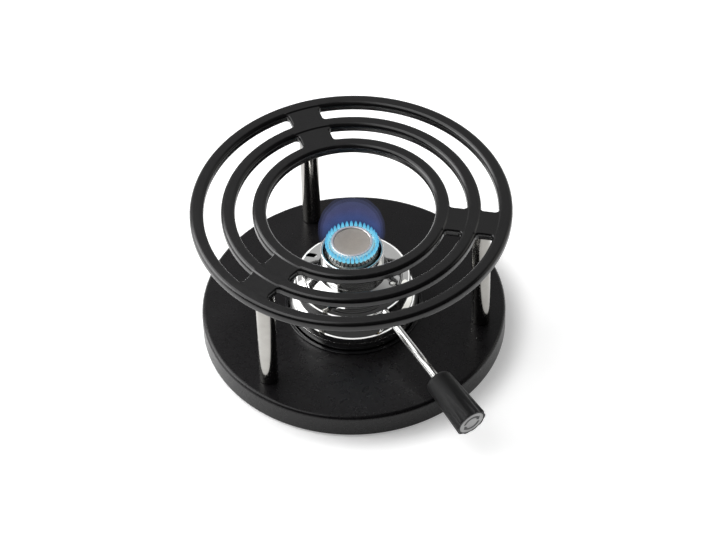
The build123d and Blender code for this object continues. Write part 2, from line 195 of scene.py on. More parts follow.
def join_rings(shape: bmesh.types.BMesh, first: list, second: list) -> None:
    """Join two closed rings of points with faces.

    Args:
        shape: the shape that holds the points.
        first: points of the first ring, or its single point on the axis.
        second: points of the second ring, or its single point on the axis.
    """
    if len(first) == 1 and len(second) == 1:
        return
    count = max(len(first), len(second))
    for index in range(count):
        following = (index + 1) % count
        if len(first) == 1:
            shape.faces.new((first[0], second[following], second[index]))
        elif len(second) == 1:
            shape.faces.new((first[index], first[following], second[0]))
        else:
            shape.faces.new((first[index], first[following], second[following], second[index]))


def close_tube(shape: bmesh.types.BMesh, rings: Sequence[list]) -> None:
    """Join a row of rings to a tube with flat ends.

    Args:
        shape: the shape that holds the points.
        rings: points of the rings, from one end of the tube to the other.
    """
    for first, second in zip(rings, rings[1:]):
        join_rings(shape, first, second)
    shape.faces.new(rings[0])
    shape.faces.new(rings[-1])


def prisms(
    name: str, outlines: Sequence[Sequence[Point]], low: float, high: float
) -> bpy.types.Object:
    """Raise flat outlines to upright prisms, all in one object.

    Args:
        name: name of the new object.
        outlines: closed outlines that don't cross each other.
        low: height of the prisms' feet.
        high: height of the prisms' tops.

    Returns:
        The object that holds all prisms.
    """
    shape = bmesh.new()
    for outline in outlines:
        foot = [shape.verts.new((x * MM, y * MM, low * MM)) for x, y in outline]
        top = [shape.verts.new((x * MM, y * MM, high * MM)) for x, y in outline]
        join_rings(shape, foot, top)
        shape.faces.new(foot)
        shape.faces.new(top)
    return new_piece(name, shape)


def polar(radius: float, angle: float) -> Point:
    """Flat place of a point at a distance from the origin and an angle in radians."""
    return radius * math.cos(angle), radius * math.sin(angle)


def even_turns(first: float, count: int) -> list[float]:
    """Directions evenly round the axis, in radians, from a first one in degrees."""
    return [math.radians(first) + FULL_TURN * index / count for index in range(count)]


def turned_points(points: Sequence[Point], angle: float) -> list[Point]:
    """Turn flat points about the origin by an angle in radians."""
    cosine, sine = math.cos(angle), math.sin(angle)
    return [(x * cosine - y * sine, x * sine + y * cosine) for x, y in points]


def arc_points(centre: Point, radius: float, start: float, end: float, steps: int) -> list[Point]:
    """Points along an arc.

    Args:
        centre: middle of the arc.
        radius: radius of the arc.
        start: first angle, in radians.
        end: last angle, in radians.
        steps: runs that the arc is divided into.

    Returns:
        The points, from the first angle to the last.
    """
    angles = [start + (end - start) * step / steps for step in range(steps + 1)]
    return [(centre[0] + radius * math.cos(a), centre[1] + radius * math.sin(a)) for a in angles]


def circle_points(centre: Point, radius: float, segments: int) -> list[Point]:
    """Points evenly round a circle, each of them once."""
    return arc_points(centre, radius, 0, FULL_TURN, segments)[:-1]


def cut(piece: bpy.types.Object, *cutters: bpy.types.Object) -> bpy.types.Object:
    """Cut other objects out of a piece and remove them.

    Args:
        piece: the piece that is cut.
        cutters: the objects that are taken away.

    Returns:
        The same piece, with its new mesh.
    """
    for cutter in cutters:
        step = piece.modifiers.new(cutter.name, "BOOLEAN")
        step.operation = "DIFFERENCE"
        step.solver = "EXACT"
        step.object = cutter
    graph = bpy.context.evaluated_depsgraph_get()
    mesh = bpy.data.meshes.new_from_object(piece.evaluated_get(graph))
    whole = piece.data
    piece.modifiers.clear()
    piece.data = mesh
    mesh.name = piece.name
    bpy.data.meshes.remove(whole)
    for cutter in cutters:
        bpy.data.meshes.remove(cutter.data)
    return piece


def smooth(piece: bpy.types.Object, angle: float = SMOOTH_ANGLE) -> bpy.types.Object:
    """Shade a piece smoothly up to an angle, with its large faces kept flat.

    Args:
        piece: the piece to shade.
        angle: angle in radians above which an edge stays sharp.

    Returns:
        The same piece.
    """
    piece.data.shade_smooth()
    piece.data.set_sharp_from_angle(angle=angle)
    shading = piece.modifiers.new("even_shading", "WEIGHTED_NORMAL")
    shading.keep_sharp = True
    return piece


# Finishes


class Brushing(Enum):
    """Which way the fine marks of a metal run."""

    POLISHED = "polished"
    AROUND = "around"
    ALONG = "along"


class ShaderSheet:
    """The nodes of one material, with short calls for the kinds of node used here."""

    def __init__(self, material: bpy.types.Material) -> None:
        """Start an empty sheet with a principled surface.

        Args:
            material: the material whose nodes are written.
        """
        self.tree = material.node_tree
        self.tree.nodes.clear()
        self.surface = self.add("ShaderNodeBsdfPrincipled")
        output = self.add("ShaderNodeOutputMaterial")
        self.tree.links.new(self.surface.outputs["BSDF"], output.inputs["Surface"])
        self.place = self.add("ShaderNodeTexCoord").outputs["Object"]

    def add(self, kind: str) -> bpy.types.Node:
        """Add a node of a kind."""
        return self.tree.nodes.new(kind)

    def set(self, **values: float | Colour) -> None:
        """Set constant values on the surface's own sockets.

        Args:
            values: socket names, with underscores for spaces, and their values.
        """
        for name, value in values.items():
            socket = self.surface.inputs[name.replace("_", " ")]
            socket.default_value = (*value, 1.0) if isinstance(value, tuple) else value

    def feed(self, name: str, source: bpy.types.NodeSocket) -> None:
        """Join a node's output to one of the surface's sockets."""
        self.tree.links.new(source, self.surface.inputs[name])

    def stretched(self, stretch: Colour) -> bpy.types.NodeSocket:
        """Scale the object's coordinates.

        Args:
            stretch: one factor for each axis.

        Returns:
            The scaled coordinates.
        """
        mapping = self.add("ShaderNodeMapping")
        mapping.inputs["Scale"].default_value = stretch
        self.tree.links.new(self.place, mapping.inputs["Vector"])
        return mapping.outputs["Vector"]

    def reach(self) -> bpy.types.NodeSocket:
        """Measure how far a point is from the object's upright axis.

        Returns:
            The distance, in metres.
        """
        flat = self.stretched((1.0, 1.0, 0.0))
        length = self.add("ShaderNodeVectorMath")
        length.operation = "LENGTH"
        self.tree.links.new(flat, length.inputs[0])
        return length.outputs["Value"]

    def axis(self, name: str) -> bpy.types.NodeSocket:
        """Measure a point's place along one of the object's own axes.

        Args:
            name: X, Y or Z.

        Returns:
            The place, in metres.
        """
        split = self.add("ShaderNodeSeparateXYZ")
        self.tree.links.new(self.place, split.inputs["Vector"])
        return split.outputs[name]

    def product(
        self, first: bpy.types.NodeSocket, second: bpy.types.NodeSocket
    ) -> bpy.types.NodeSocket:
        """Multiply two values.

        Args:
            first: one value.
            second: the other value.

        Returns:
            Their product.
        """
        node = self.add("ShaderNodeMath")
        node.operation = "MULTIPLY"
        self.tree.links.new(first, node.inputs[0])
        self.tree.links.new(second, node.inputs[1])
        return node.outputs["Value"]

    def noise(
        self, scale: float, detail: float, stretch: Colour = (1.0, 1.0, 1.0)
    ) -> bpy.types.NodeSocket:
        """Cloudy noise in the object's own space.

        Args:
            scale: features per metre.
            detail: finer layers that are added.
            stretch: factors for the three axes.

        Returns:
            The noise value, about 0.5 in the middle.
        """
        node = self.add("ShaderNodeTexNoise")
        node.inputs["Scale"].default_value = scale
        node.inputs["Detail"].default_value = detail
        self.tree.links.new(self.stretched(stretch), node.inputs["Vector"])
        return node.outputs["Fac"]

    def rings(self, scale: float, detail: float) -> bpy.types.NodeSocket:
        """Noise that changes only with the distance from the axis, as on a turned face.

        Args:
            scale: features per metre.
            detail: finer layers that are added.

        Returns:
            The noise value, about 0.5 in the middle.
        """
        node = self.add("ShaderNodeTexNoise")
        node.noise_dimensions = "1D"
        node.inputs["Scale"].default_value = scale
        node.inputs["Detail"].default_value = detail
        self.tree.links.new(self.reach(), node.inputs["W"])
        return node.outputs["Fac"]

    def span(
        self, source: bpy.types.NodeSocket, ends: Point, values: Point
    ) -> bpy.types.NodeSocket:
        """Carry a value from one span to another.

        Args:
            source: the value.
            ends: the span it comes from.
            values: the span it goes to.

        Returns:
            The new value, held inside its span.
        """
        node = self.add("ShaderNodeMapRange")
        self.tree.links.new(source, node.inputs["Value"])
        node.inputs["From Min"].default_value, node.inputs["From Max"].default_value = ends
        node.inputs["To Min"].default_value, node.inputs["To Max"].default_value = values
        return node.outputs["Result"]

    def ramp(self, source: bpy.types.NodeSocket, stops: Sequence[Stop]) -> bpy.types.NodeSocket:
        """Colours along a value.

        Args:
            source: the value, from 0 to 1.
            stops: places and colours, in order.

        Returns:
            The colour.
        """
        node = self.add("ShaderNodeValToRGB")
        self.tree.links.new(source, node.inputs["Fac"])
        elements = node.color_ramp.elements
        while len(elements) < len(stops):
            elements.new(1.0)
        for element, (place, colour) in zip(elements, stops):
            element.position = place
            element.color = (*colour, 1.0)
        return node.outputs["Color"]

    def bump(self, layers: Sequence[tuple[bpy.types.NodeSocket, float]]) -> None:
        """Raise the surface by height layers.

        Args:
            layers: height values and their depth in millimetres, coarse ones first.
        """
        normal = None
        for source, depth in layers:
            node = self.add("ShaderNodeBump")
            node.inputs["Distance"].default_value = depth * MM
            self.tree.links.new(source, node.inputs["Height"])
            if normal is not None:
                self.tree.links.new(normal, node.inputs["Normal"])
            normal = node.outputs["Normal"]
        self.feed("Normal", normal)


@dataclass(frozen=True)
class Finish:
    """A finish by name."""

    name: str

    def material(self) -> bpy.types.Material:
        """Find the material of this finish, or make it at its first use.

        Returns:
            The material.
        """
        found = bpy.data.materials.get(self.label())
        if found is None:
            found = bpy.data.materials.new(self.label())
            found.use_nodes = True
            self.draw(ShaderSheet(found))
        return found

    def label(self) -> str:
        """Name of the material in the file."""
        return f"{self.name}_finish"

    def draw(self, sheet: ShaderSheet) -> None:
        """Write the finish on a sheet; each kind of finish has its own way."""
        raise NotImplementedError


@dataclass(frozen=True)
class Coating(Finish):
    """Paint, lacquer, plastic, rubber or felt: a colour that varies a little, on a fine grain."""

    dark: Colour
    light: Colour
    roughness: Point
    grain: float
    grain_depth: float
    swell: float = 60.0
    swell_depth: float = 0.02
    specular: float = 0.5
    coat: float = 0.0
    sheen: float = 0.0

    CLOUD_DETAIL: ClassVar[float] = 4.0
    GRAIN_DETAIL: ClassVar[float] = 3.0
    GLOSS_DETAIL: ClassVar[float] = 5.0
    GLOSS_PER_SWELL: ClassVar[float] = 4

    def draw(self, sheet: ShaderSheet) -> None:
        """Write the coating's colour, gloss and grain.

        Args:
            sheet: the sheet of the coating's material.
        """
        clouds = sheet.noise(self.swell, self.CLOUD_DETAIL)
        grain = sheet.noise(self.grain, self.GRAIN_DETAIL)
        stops = tuple(zip(NOISE_SPAN, (self.dark, self.light)))
        sheet.feed("Base Color", sheet.ramp(clouds, stops))
        gloss = sheet.noise(self.swell * self.GLOSS_PER_SWELL, self.GLOSS_DETAIL)
        sheet.feed("Roughness", sheet.span(gloss, NOISE_SPAN, self.roughness))
        sheet.set(
            Specular_IOR_Level=self.specular, Coat_Weight=self.coat, Sheen_Weight=self.sheen
        )
        sheet.bump(((clouds, self.swell_depth), (grain, self.grain_depth)))


@dataclass(frozen=True)
class Metal(Finish):
    """Bare or plated metal with fine marks of polishing, turning or drawing."""

    dark: Colour
    light: Colour
    roughness: Point
    brushing: Brushing = Brushing.POLISHED
    marks: float = 2400.0
    mark_depth: float = 0.002

    STREAK: ClassVar[Colour] = (1.0, 1.0, 0.02)
    DETAIL: ClassVar[dict[Brushing, float]] = {
        Brushing.POLISHED: 2.0,
        Brushing.AROUND: 4.0,
        Brushing.ALONG: 3.0,
    }
    CLOUDS: ClassVar[float] = 90.0
    CLOUD_DETAIL: ClassVar[float] = 4.0
    CLOUD_SPAN: ClassVar[Point] = (0.35, 0.65)

    def mark_noise(self, sheet: ShaderSheet) -> bpy.types.NodeSocket:
        """Noise that runs the way of the metal's marks.

        Args:
            sheet: the sheet of the metal's material.

        Returns:
            The noise value.
        """
        detail = self.DETAIL[self.brushing]
        if self.brushing is Brushing.AROUND:
            return sheet.rings(self.marks, detail)
        if self.brushing is Brushing.ALONG:
            return sheet.noise(self.marks, detail, self.STREAK)
        return sheet.noise(self.marks, detail)

    def draw(self, sheet: ShaderSheet) -> None:
        """Write the metal's colour, gloss and marks.

        Args:
            sheet: the sheet of the metal's material.
        """
        clouds = sheet.noise(self.CLOUDS, self.CLOUD_DETAIL)
        marks = self.mark_noise(sheet)
        stops = tuple(zip(self.CLOUD_SPAN, (self.dark, self.light)))
        sheet.feed("Base Color", sheet.ramp(clouds, stops))
        sheet.feed("Roughness", sheet.span(marks, NOISE_SPAN, self.roughness))
        sheet.set(Metallic=1.0)
        sheet.bump(((marks, self.mark_depth),))


@dataclass(frozen=True)
class WireGauze(Finish):
    """Fine woven steel wire, browned by heat towards its middle."""

    middle: Colour
    rim: Colour
    radius: float
    wires: float
    depth: float

    BROWNED: ClassVar[float] = 0.55
    GLOSS: ClassVar[float] = 300.0
    GLOSS_DETAIL: ClassVar[float] = 4.0
    ROUGHNESS: ClassVar[Point] = (0.5, 0.68)
    METALLIC: ClassVar[float] = 0.55

    def draw(self, sheet: ShaderSheet) -> None:
        """Write the gauze's colour and its crossing wires.

        Args:
            sheet: the sheet of the gauze's material.
        """
        share = sheet.span(sheet.reach(), (0.0, self.radius * MM), (0.0, 1.0))
        stops = ((self.BROWNED, self.middle), (1.0, self.rim))
        sheet.feed("Base Color", sheet.ramp(share, stops))
        gloss = sheet.noise(self.GLOSS, self.GLOSS_DETAIL)
        sheet.feed("Roughness", sheet.span(gloss, NOISE_SPAN, self.ROUGHNESS))
        sheet.set(Metallic=self.METALLIC)
        layers = []
        for direction in ("X", "Y"):
            wave = sheet.add("ShaderNodeTexWave")
            wave.wave_type = "BANDS"
            wave.bands_direction = direction
            wave.inputs["Scale"].default_value = self.wires
            sheet.tree.links.new(sheet.place, wave.inputs["Vector"])
            layers.append((wave.outputs["Fac"], self.depth))
        sheet.bump(layers)


@dataclass(frozen=True)
class Glow(Finish):
    """Burning gas: light that changes with height and fades away."""

    low: float
    high: float
    colours: tuple[Stop, ...]
    cover: tuple[tuple[float, float], ...]
    strength: float
    front: float = 0.0
    back: float = 1.0
    front_share: float = 1.0

    FLICKER: ClassVar[float] = 140.0
    FLICKER_DETAIL: ClassVar[float] = 2.0
    FLICKER_SHARE: ClassVar[Point] = (0.75, 1.0)

    def draw(self, sheet: ShaderSheet) -> None:
        """Write the glow's colour and its cover, which is thinner in front than at the back.

        Args:
            sheet: the sheet of the glow's material.
        """
        share = sheet.span(sheet.axis("Z"), (self.low * MM, self.high * MM), (0.0, 1.0))
        sheet.feed("Emission Color", sheet.ramp(share, self.colours))
        greys = [(place, (value, value, value)) for place, value in self.cover]
        flames = sheet.noise(self.FLICKER, self.FLICKER_DETAIL)
        flicker = sheet.span(flames, NOISE_SPAN, self.FLICKER_SHARE)
        ends = (self.front * MM, self.back * MM)
        depth = sheet.span(sheet.axis("Y"), ends, (self.front_share, 1.0))
        cover = sheet.product(sheet.ramp(share, greys), flicker)
        sheet.feed("Alpha", sheet.product(cover, depth))
        sheet.set(
            Base_Color=(0.0, 0.0, 0.0), Specular_IOR_Level=0.0, Emission_Strength=self.strength
        )


STAND_ENAMEL = Coating(
    "stand_enamel",
    dark=(0.0023, 0.0021, 0.0024),
    light=(0.0038, 0.0035, 0.0039),
    roughness=(0.20, 0.26),
    grain=900.0,
    grain_depth=0.003,
    swell_depth=0.01,
    specular=0.44,
)
BASE_LACQUER = Coating(
    "base_lacquer",
    dark=(0.0044, 0.0040, 0.0046),
    light=(0.0066, 0.0060, 0.0068),
    roughness=(0.25, 0.32),
    grain=1100.0,
    grain_depth=0.0015,
    swell_depth=0.01,
    specular=0.26,
)
DISH_ENAMEL = Coating(
    "dish_enamel",
    dark=(0.006, 0.006, 0.007),
    light=(0.010, 0.010, 0.011),
    roughness=(0.10, 0.16),
    grain=800.0,
    grain_depth=0.004,
)
PAD_RUBBER = Coating(
    "pad",
    dark=(0.020, 0.020, 0.021),
    light=(0.034, 0.034, 0.035),
    roughness=(0.75, 0.9),
    grain=700.0,
    grain_depth=0.12,
)
KNOB_PLASTIC = Coating(
    "knob_plastic",
    dark=(0.008, 0.008, 0.0085),
    light=(0.012, 0.012, 0.0125),
    roughness=(0.42, 0.50),
    grain=1300.0,
    grain_depth=0.005,
    specular=0.24,
)
SEAL_RUBBER = Coating(
    "seal_rubber",
    dark=(0.018, 0.018, 0.018),
    light=(0.030, 0.030, 0.030),
    roughness=(0.6, 0.75),
    grain=1500.0,
    grain_depth=0.02,
)
FILTER_FELT = Coating(
    "filter_felt",
    dark=(0.62, 0.59, 0.52),
    light=(0.80, 0.77, 0.70),
    roughness=(0.85, 0.95),
    grain=900.0,
    grain_depth=0.2,
    sheen=0.3,
)
MARK_INK = Coating(
    "knob_mark",
    dark=(0.020, 0.020, 0.021),
    light=(0.035, 0.035, 0.036),
    roughness=(0.45, 0.55),
    grain=2500.0,
    grain_depth=0.004,
)
# The posts' metal is much darker than the tank's and rod's: painted shade standing in for the dim
# surroundings that the posts reflect.
POST_CHROME_PAINTED_SHADE = Metal(
    "post_chrome",
    dark=(0.34, 0.33, 0.31),
    light=(0.38, 0.37, 0.35),
    roughness=(0.10, 0.16),
    brushing=Brushing.ALONG,
    marks=1200.0,
    mark_depth=0.0003,
)
TANK_CHROME = Metal(
    "tank_chrome",
    dark=(0.74, 0.74, 0.73),
    light=(0.80, 0.80, 0.79),
    roughness=(0.04, 0.08),
    marks=900.0,
    mark_depth=0.0004,
)
CAP_CHROME = Metal(
    "cap_chrome",
    dark=(0.84, 0.83, 0.81),
    light=(0.90, 0.89, 0.87),
    roughness=(0.24, 0.34),
    brushing=Brushing.AROUND,
    mark_depth=0.0015,
)
ROD_CHROME = Metal(
    "rod_chrome",
    dark=(0.74, 0.74, 0.73),
    light=(0.80, 0.80, 0.79),
    roughness=(0.10, 0.14),
    brushing=Brushing.ALONG,
    marks=2600.0,
    mark_depth=0.00006,
)
HEAD_STEEL = Metal(
    "head_steel",
    dark=(0.46, 0.45, 0.43),
    light=(0.58, 0.57, 0.55),
    roughness=(0.22, 0.34),
    brushing=Brushing.AROUND,
)
FASTENER_STEEL = Metal(
    "fastener_steel",
    dark=(0.52, 0.52, 0.51),
    light=(0.60, 0.60, 0.59),
    roughness=(0.26, 0.4),
    mark_depth=0.003,
)
VALVE_STEEL = Metal(
    "valve_steel",
    dark=(0.56, 0.56, 0.55),
    light=(0.64, 0.64, 0.63),
    roughness=(0.2, 0.32),
    mark_depth=0.003,
)
VALVE_BRASS = Metal(
    "valve_brass",
    dark=(0.62, 0.46, 0.20),
    light=(0.72, 0.56, 0.28),
    roughness=(0.2, 0.34),
    brushing=Brushing.AROUND,
    mark_depth=0.003,
)
DISC_ALUMINIUM = Metal(
    "disc_aluminium",
    dark=(0.27, 0.27, 0.27),
    light=(0.33, 0.33, 0.33),
    roughness=(0.3, 0.44),
    brushing=Brushing.AROUND,
    marks=3200.0,
    mark_depth=0.004,
)
DISC_GAUZE = WireGauze(
    "disc_steel",
    middle=(0.44, 0.40, 0.335),
    rim=(0.48, 0.445, 0.385),
    radius=13.3,
    wires=900.0,
    depth=0.03,
)
TEETH_GLOW = Glow(
    "flame_teeth",
    low=80.0,
    high=88.6,
    colours=(
        (0.0, (0.42, 0.85, 0.96)),
        (0.4, (0.21, 0.68, 0.89)),
        (0.8, (0.10, 0.50, 0.80)),
        (1.0, (0.05, 0.27, 0.68)),
    ),
    cover=((0.0, 0.2), (0.2, 0.9), (0.55, 0.92), (0.85, 0.6), (1.0, 0.05)),
    strength=1.0,
)
PLUME_GLOW = Glow(
    "flame_plume",
    low=84.0,
    high=122.0,
    colours=(
        (0.0, (0.10, 0.24, 0.80)),
        (0.3, (0.19, 0.22, 0.58)),
        (0.6, (0.19, 0.23, 0.51)),
        (1.0, (0.18, 0.20, 0.42)),
    ),
    cover=((0.0, 0.0), (0.1, 0.11), (0.5, 0.085), (0.8, 0.055), (1.0, 0.0)),
    strength=1.0,
    front=-4.0,
    back=12.0,
    front_share=0.15,
)

HIDDEN_FINISHES: dict[str, Finish] = {
    "non_slip_pad": PAD_RUBBER,
    "post_studs": FASTENER_STEEL,
    "base_screws": FASTENER_STEEL,
    "base_washers": FASTENER_STEEL,
    "gas_filter": FILTER_FELT,
    "valve_body": VALVE_BRASS,
    "gland_packing": SEAL_RUBBER,
    "gland_nut": VALVE_BRASS,
    "gas_jet": VALVE_BRASS,
    "mixing_tube": HEAD_STEEL,
    "filler_body": VALVE_BRASS,
    "filler_gasket": SEAL_RUBBER,
    "filler_nut": VALVE_BRASS,
    "filler_stem": VALVE_STEEL,
    "valve_needle": VALVE_STEEL,
    "knob_insert": VALVE_BRASS,
}


# Sub-assemblies


@dataclass
class SubAssembly:
    """Pieces that ride on one body of the frame."""

    body: ClassVar[str] = ""
    pieces: list[bpy.types.Object] = field(default_factory=list, init=False)

    def keep(
        self, piece: bpy.types.Object, finish: Finish, *nodes: str, slot: bool = True
    ) -> bpy.types.Object:
        """Dress a piece, let it ride and stand for its nodes.

        Args:
            piece: the finished mesh.
            finish: the finish that covers it.
            nodes: nodes of the frame that it stands for.
            slot: not used.

        Returns:
            The same piece.
        """
        piece.data.materials.clear()
        piece.data.materials.append(finish.material())
        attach(piece, self.body)
        if nodes:
            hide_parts(*nodes)
        self.pieces.append(piece)
        return piece

    def build(self) -> None:
        """Build all pieces; each sub-assembly has its own."""
        raise NotImplementedError


@dataclass
class Stand(SubAssembly):
    """Base plate, posts and ringed pot stand."""

    body: ClassVar[str] = "stand"

    base_radius: float = 111.8
    base_bottom: float = 1.2
    base_top: float = 19.9
    base_top_edge: float = 3.0
    base_bottom_edge: float = 1.5
    recess_radius: float = 49.5
    recess_floor: float = 12.6
    recess_edge: float = 0.25
    screw_hole: float = 2.9
    washer_hole: float = 5.7
    washer_seat: float = 5.2
    hole_segments: int = 32
    post_radius: float = 6.9
    post_circle: float = 94.3
    post_chamfer: float = 0.6
    post_edge: float = 0.2
    post_segments: int = 96
    stand_top: float = 122.9
    stand_radius: float = 115.6
    ring_count: int = 3
    ring_width: float = 10.1
    ring_pitch: float = 22.45
    ring_height: float = 8.2
    ring_edge: float = 3.0
    bridge_count: int = 3
    bridge_width: float = 23.5
    bridge_turn: float = -11.6
    bridge_corner: float = 2.5
    bridge_drop: float = 0.8
    groove_slope: float = 1.0
    groove_inset: float = 1.6
    overrun: float = 2.0
    rim_segments: int = 288
    bore_segments: int = 192
    gap_steps: int = 56
    corner_steps: int = 8
    edge_steps: int = 7

    def bridge_angles(self) -> list[float]:
        """Directions of the bridges and posts, in radians."""
        return even_turns(self.bridge_turn, self.bridge_count)

    def base_plate(self) -> bpy.types.Object:
        """Round plate with its dish recess and screw holes.

        Returns:
            The plate.
        """
        plate = turned_piece(
            "base_board",
            (
                (0, self.base_bottom, 0),
                (self.base_radius, self.base_bottom, self.base_bottom_edge),
                (self.base_radius, self.base_top, self.base_top_edge),
                (self.recess_radius, self.base_top, self.recess_edge),
                (self.recess_radius, self.recess_floor, 0),
                (0, self.recess_floor, 0),
            ),
        )
        low, high = self.base_bottom - self.overrun, self.base_top + self.overrun
        holes = []
        for angle in self.bridge_angles():
            middle = polar(self.post_circle, angle)
            for radius, top in ((self.screw_hole, high), (self.washer_hole, self.washer_seat)):
                outline = circle_points(middle, radius, self.hole_segments)
                holes.append(prisms("base_hole", [outline], low, top))
        return self.keep(smooth(cut(plate, *holes)), BASE_LACQUER, "base_plate")

    def posts(self) -> None:
        """Three polished posts, chamfered at both ends."""
        foot, head = self.base_top, self.stand_top - self.ring_height
        for angle, name in zip(self.bridge_angles(), ("right", "back", "left")):
            post = turned_piece(
                f"post_{name}_bar",
                (
                    (0, foot, 0),
                    (self.post_radius - self.post_chamfer, foot, 0),
                    (self.post_radius, foot + self.post_chamfer, self.post_edge),
                    (self.post_radius, head - self.post_chamfer, self.post_edge),
                    (self.post_radius - self.post_chamfer, head, 0),
                    (0, head, 0),
                ),
                segments=self.post_segments,
            )
            post.location = (*polar(self.post_circle * MM, angle), 0)
            self.keep(smooth(post), POST_CHROME_PAINTED_SHADE, f"post_{name}")

    def gap_outline(self, outer: float, inner: float, sector: int, grow: float) -> list[Point]:
        """Outline of a gap between two rings and two bridges.

        Args:
            outer: outer radius of the gap.
            inner: inner radius of the gap.
            sector: which bridge the gap follows.
            grow: how far the outline is moved out into the metal.

        Returns:
            The points, against the clock, as many for every gap and growth.
        """
        start = self.bridge_angles()[sector]
        end = start + FULL_TURN / self.bridge_count
        half = self.bridge_width / 2 - grow
        corner = self.bridge_corner + grow
        far = outer + grow - corner
        near = inner - grow + corner
        far_lean = math.asin((half + corner) / far)
        near_lean = math.asin((half + corner) / near)
        corners = (
            (far, start + far_lean, start - QUARTER_TURN, start + far_lean),
            (far, end - far_lean, end - far_lean, end + QUARTER_TURN),
            (near, end - near_lean, end + QUARTER_TURN, end - near_lean + 2 * QUARTER_TURN),
            (
                near,
                start + near_lean,
                start + near_lean + 2 * QUARTER_TURN,
                start + 3 * QUARTER_TURN,
            ),
        )
        arcs = []
        for radius, angle, first, last in corners:
            arcs.append(arc_points(polar(radius, angle), corner, first, last, self.corner_steps))
        sides = []
        for radius, first, last in (
            (outer + grow, start + far_lean, end - far_lean),
            (inner - grow, end - near_lean, start + near_lean),
        ):
            sides.append(arc_points((0, 0), radius, first, last, self.gap_steps)[1:-1])
        return arcs[0] + sides[0] + arcs[1] + arcs[2] + sides[1] + arcs[3]

    def edge_levels(self) -> list[Point]:
        """Follow the rounded edges from the underside up.

        Returns:
            How far the edge draws in, and the height, at each level.
        """
        bottom, top, edge = self.stand_top - self.ring_height, self.stand_top, self.ring_edge
        levels = []
        for step in range(self.edge_steps + 1):
            angle = QUARTER_TURN * step / self.edge_steps
            levels.append((edge * (1 - math.sin(angle)), bottom + edge * (1 - math.cos(angle))))
        return levels + [(inset, bottom + top - height) for inset, height in reversed(levels)]

    def pot_stand(self) -> bpy.types.Object:
        """Cast rings and bridges with rounded edges and low bridges.

        Returns:
            The pot stand.
        """
        bore = self.stand_radius - (self.ring_count - 1) * self.ring_pitch - self.ring_width
        gap_edges = []
        for index in range(self.ring_count - 1):
            outer = self.stand_radius - index * self.ring_pitch - self.ring_width
            gap_edges.append((outer, outer - self.ring_pitch + self.ring_width))
        outlines: list[Callable[[float], list[Point]]] = [
            lambda grow: circle_points((0, 0), self.stand_radius - grow, self.rim_segments),
            lambda grow: circle_points((0, 0), bore + grow, self.bore_segments),
        ]
        for outer, inner in gap_edges:
            for sector in range(self.bridge_count):
                outlines.append(partial(self.gap_outline, outer, inner, sector))
        shape = bmesh.new()
        rims: dict[bool, list] = {False: [], True: []}
        levels = self.edge_levels()
        for outline in outlines:
            rings = []
            for grow, height in levels:
                spots = [(x * MM, y * MM, height * MM) for x, y in outline(grow)]
                rings.append([shape.verts.new(spot) for spot in spots])
            for first, second in zip(rings, rings[1:]):
                join_rings(shape, first, second)
            for is_top, ring in ((False, rings[0]), (True, rings[-1])):
                for first, second in zip(ring, ring[1:] + ring[:1]):
                    rims[is_top].append(shape.edges.get((first, second)))
        for is_top, edges in rims.items():
            normal = (0, 0, 1 if is_top else -1)
            bmesh.ops.triangle_fill(shape, use_beauty=True, edges=edges, normal=normal)
        stand = new_piece("stand_rings", shape)
        grooves = []
        low, slope = self.stand_top - self.bridge_drop, self.groove_slope
        for outer, inner in gap_edges:
            first, last = inner - self.groove_inset, outer + self.groove_inset
            grooves.append(
                turned_piece(
                    "bridge_groove",
                    (
                        (first, self.stand_top, 0),
                        (first + slope, low, 0),
                        (last - slope, low, 0),
                        (last, self.stand_top, 0),
                        (last, self.stand_top + self.overrun, 0),
                        (first, self.stand_top + self.overrun, 0),
                    ),
                    segments=self.rim_segments,
                )
            )
        return self.keep(smooth(cut(stand, *grooves)), STAND_ENAMEL, "pot_stand")

    def build(self) -> None:
        """Build the base plate, the posts and the pot stand."""
        self.base_plate()
        self.posts()
        self.pot_stand()


@dataclass
class Dish(SubAssembly):
    """Shallow pressed dish that carries the burner."""

    body: ClassVar[str] = "dish"

    rim_radius: float = 50.7
    inner_radius: float = 48.2
    wall: float = 1.0
    rim_bottom: float = 19.9
    floor_top: float = 13.9
    floor_edge: float = 2.0
    rim_edge: float = 0.4

    def build(self) -> None:
        """Build the dish."""
        outer = self.inner_radius + self.wall
        floor_bottom, rim_top = self.floor_top - self.wall, self.rim_bottom + self.wall
        dish = turned_piece(
            "dish_pressing",
            (
                (0, floor_bottom, 0),
                (outer, floor_bottom, self.floor_edge + self.wall),
                (outer, self.rim_bottom, 0),
                (self.rim_radius, self.rim_bottom, 0),
                (self.rim_radius, rim_top, self.rim_edge),
                (self.inner_radius, rim_top, self.rim_edge),
                (self.inner_radius, self.floor_top, self.floor_edge),
                (0, self.floor_top, 0),
            ),
        )
        self.keep(smooth(dish), DISH_ENAMEL, "burner_dish")


@dataclass
class LeverLine:
    """Line of the regulator rod, from the burner's axis outwards and down."""

    turn: float = -57.8
    slope: float = 8.5
    height: float = 53.7

    def matrix(self) -> Matrix:
        """Lay an upright piece along the line.

        Returns:
            The piece's place.
        """
        lift = Matrix.Translation((0, 0, self.height * MM))
        turn = Matrix.Rotation(math.radians(self.turn), 4, "Z")
        lean = Matrix.Rotation(math.radians(self.slope + RIGHT_ANGLE), 4, "Y")
        return lift @ turn @ lean


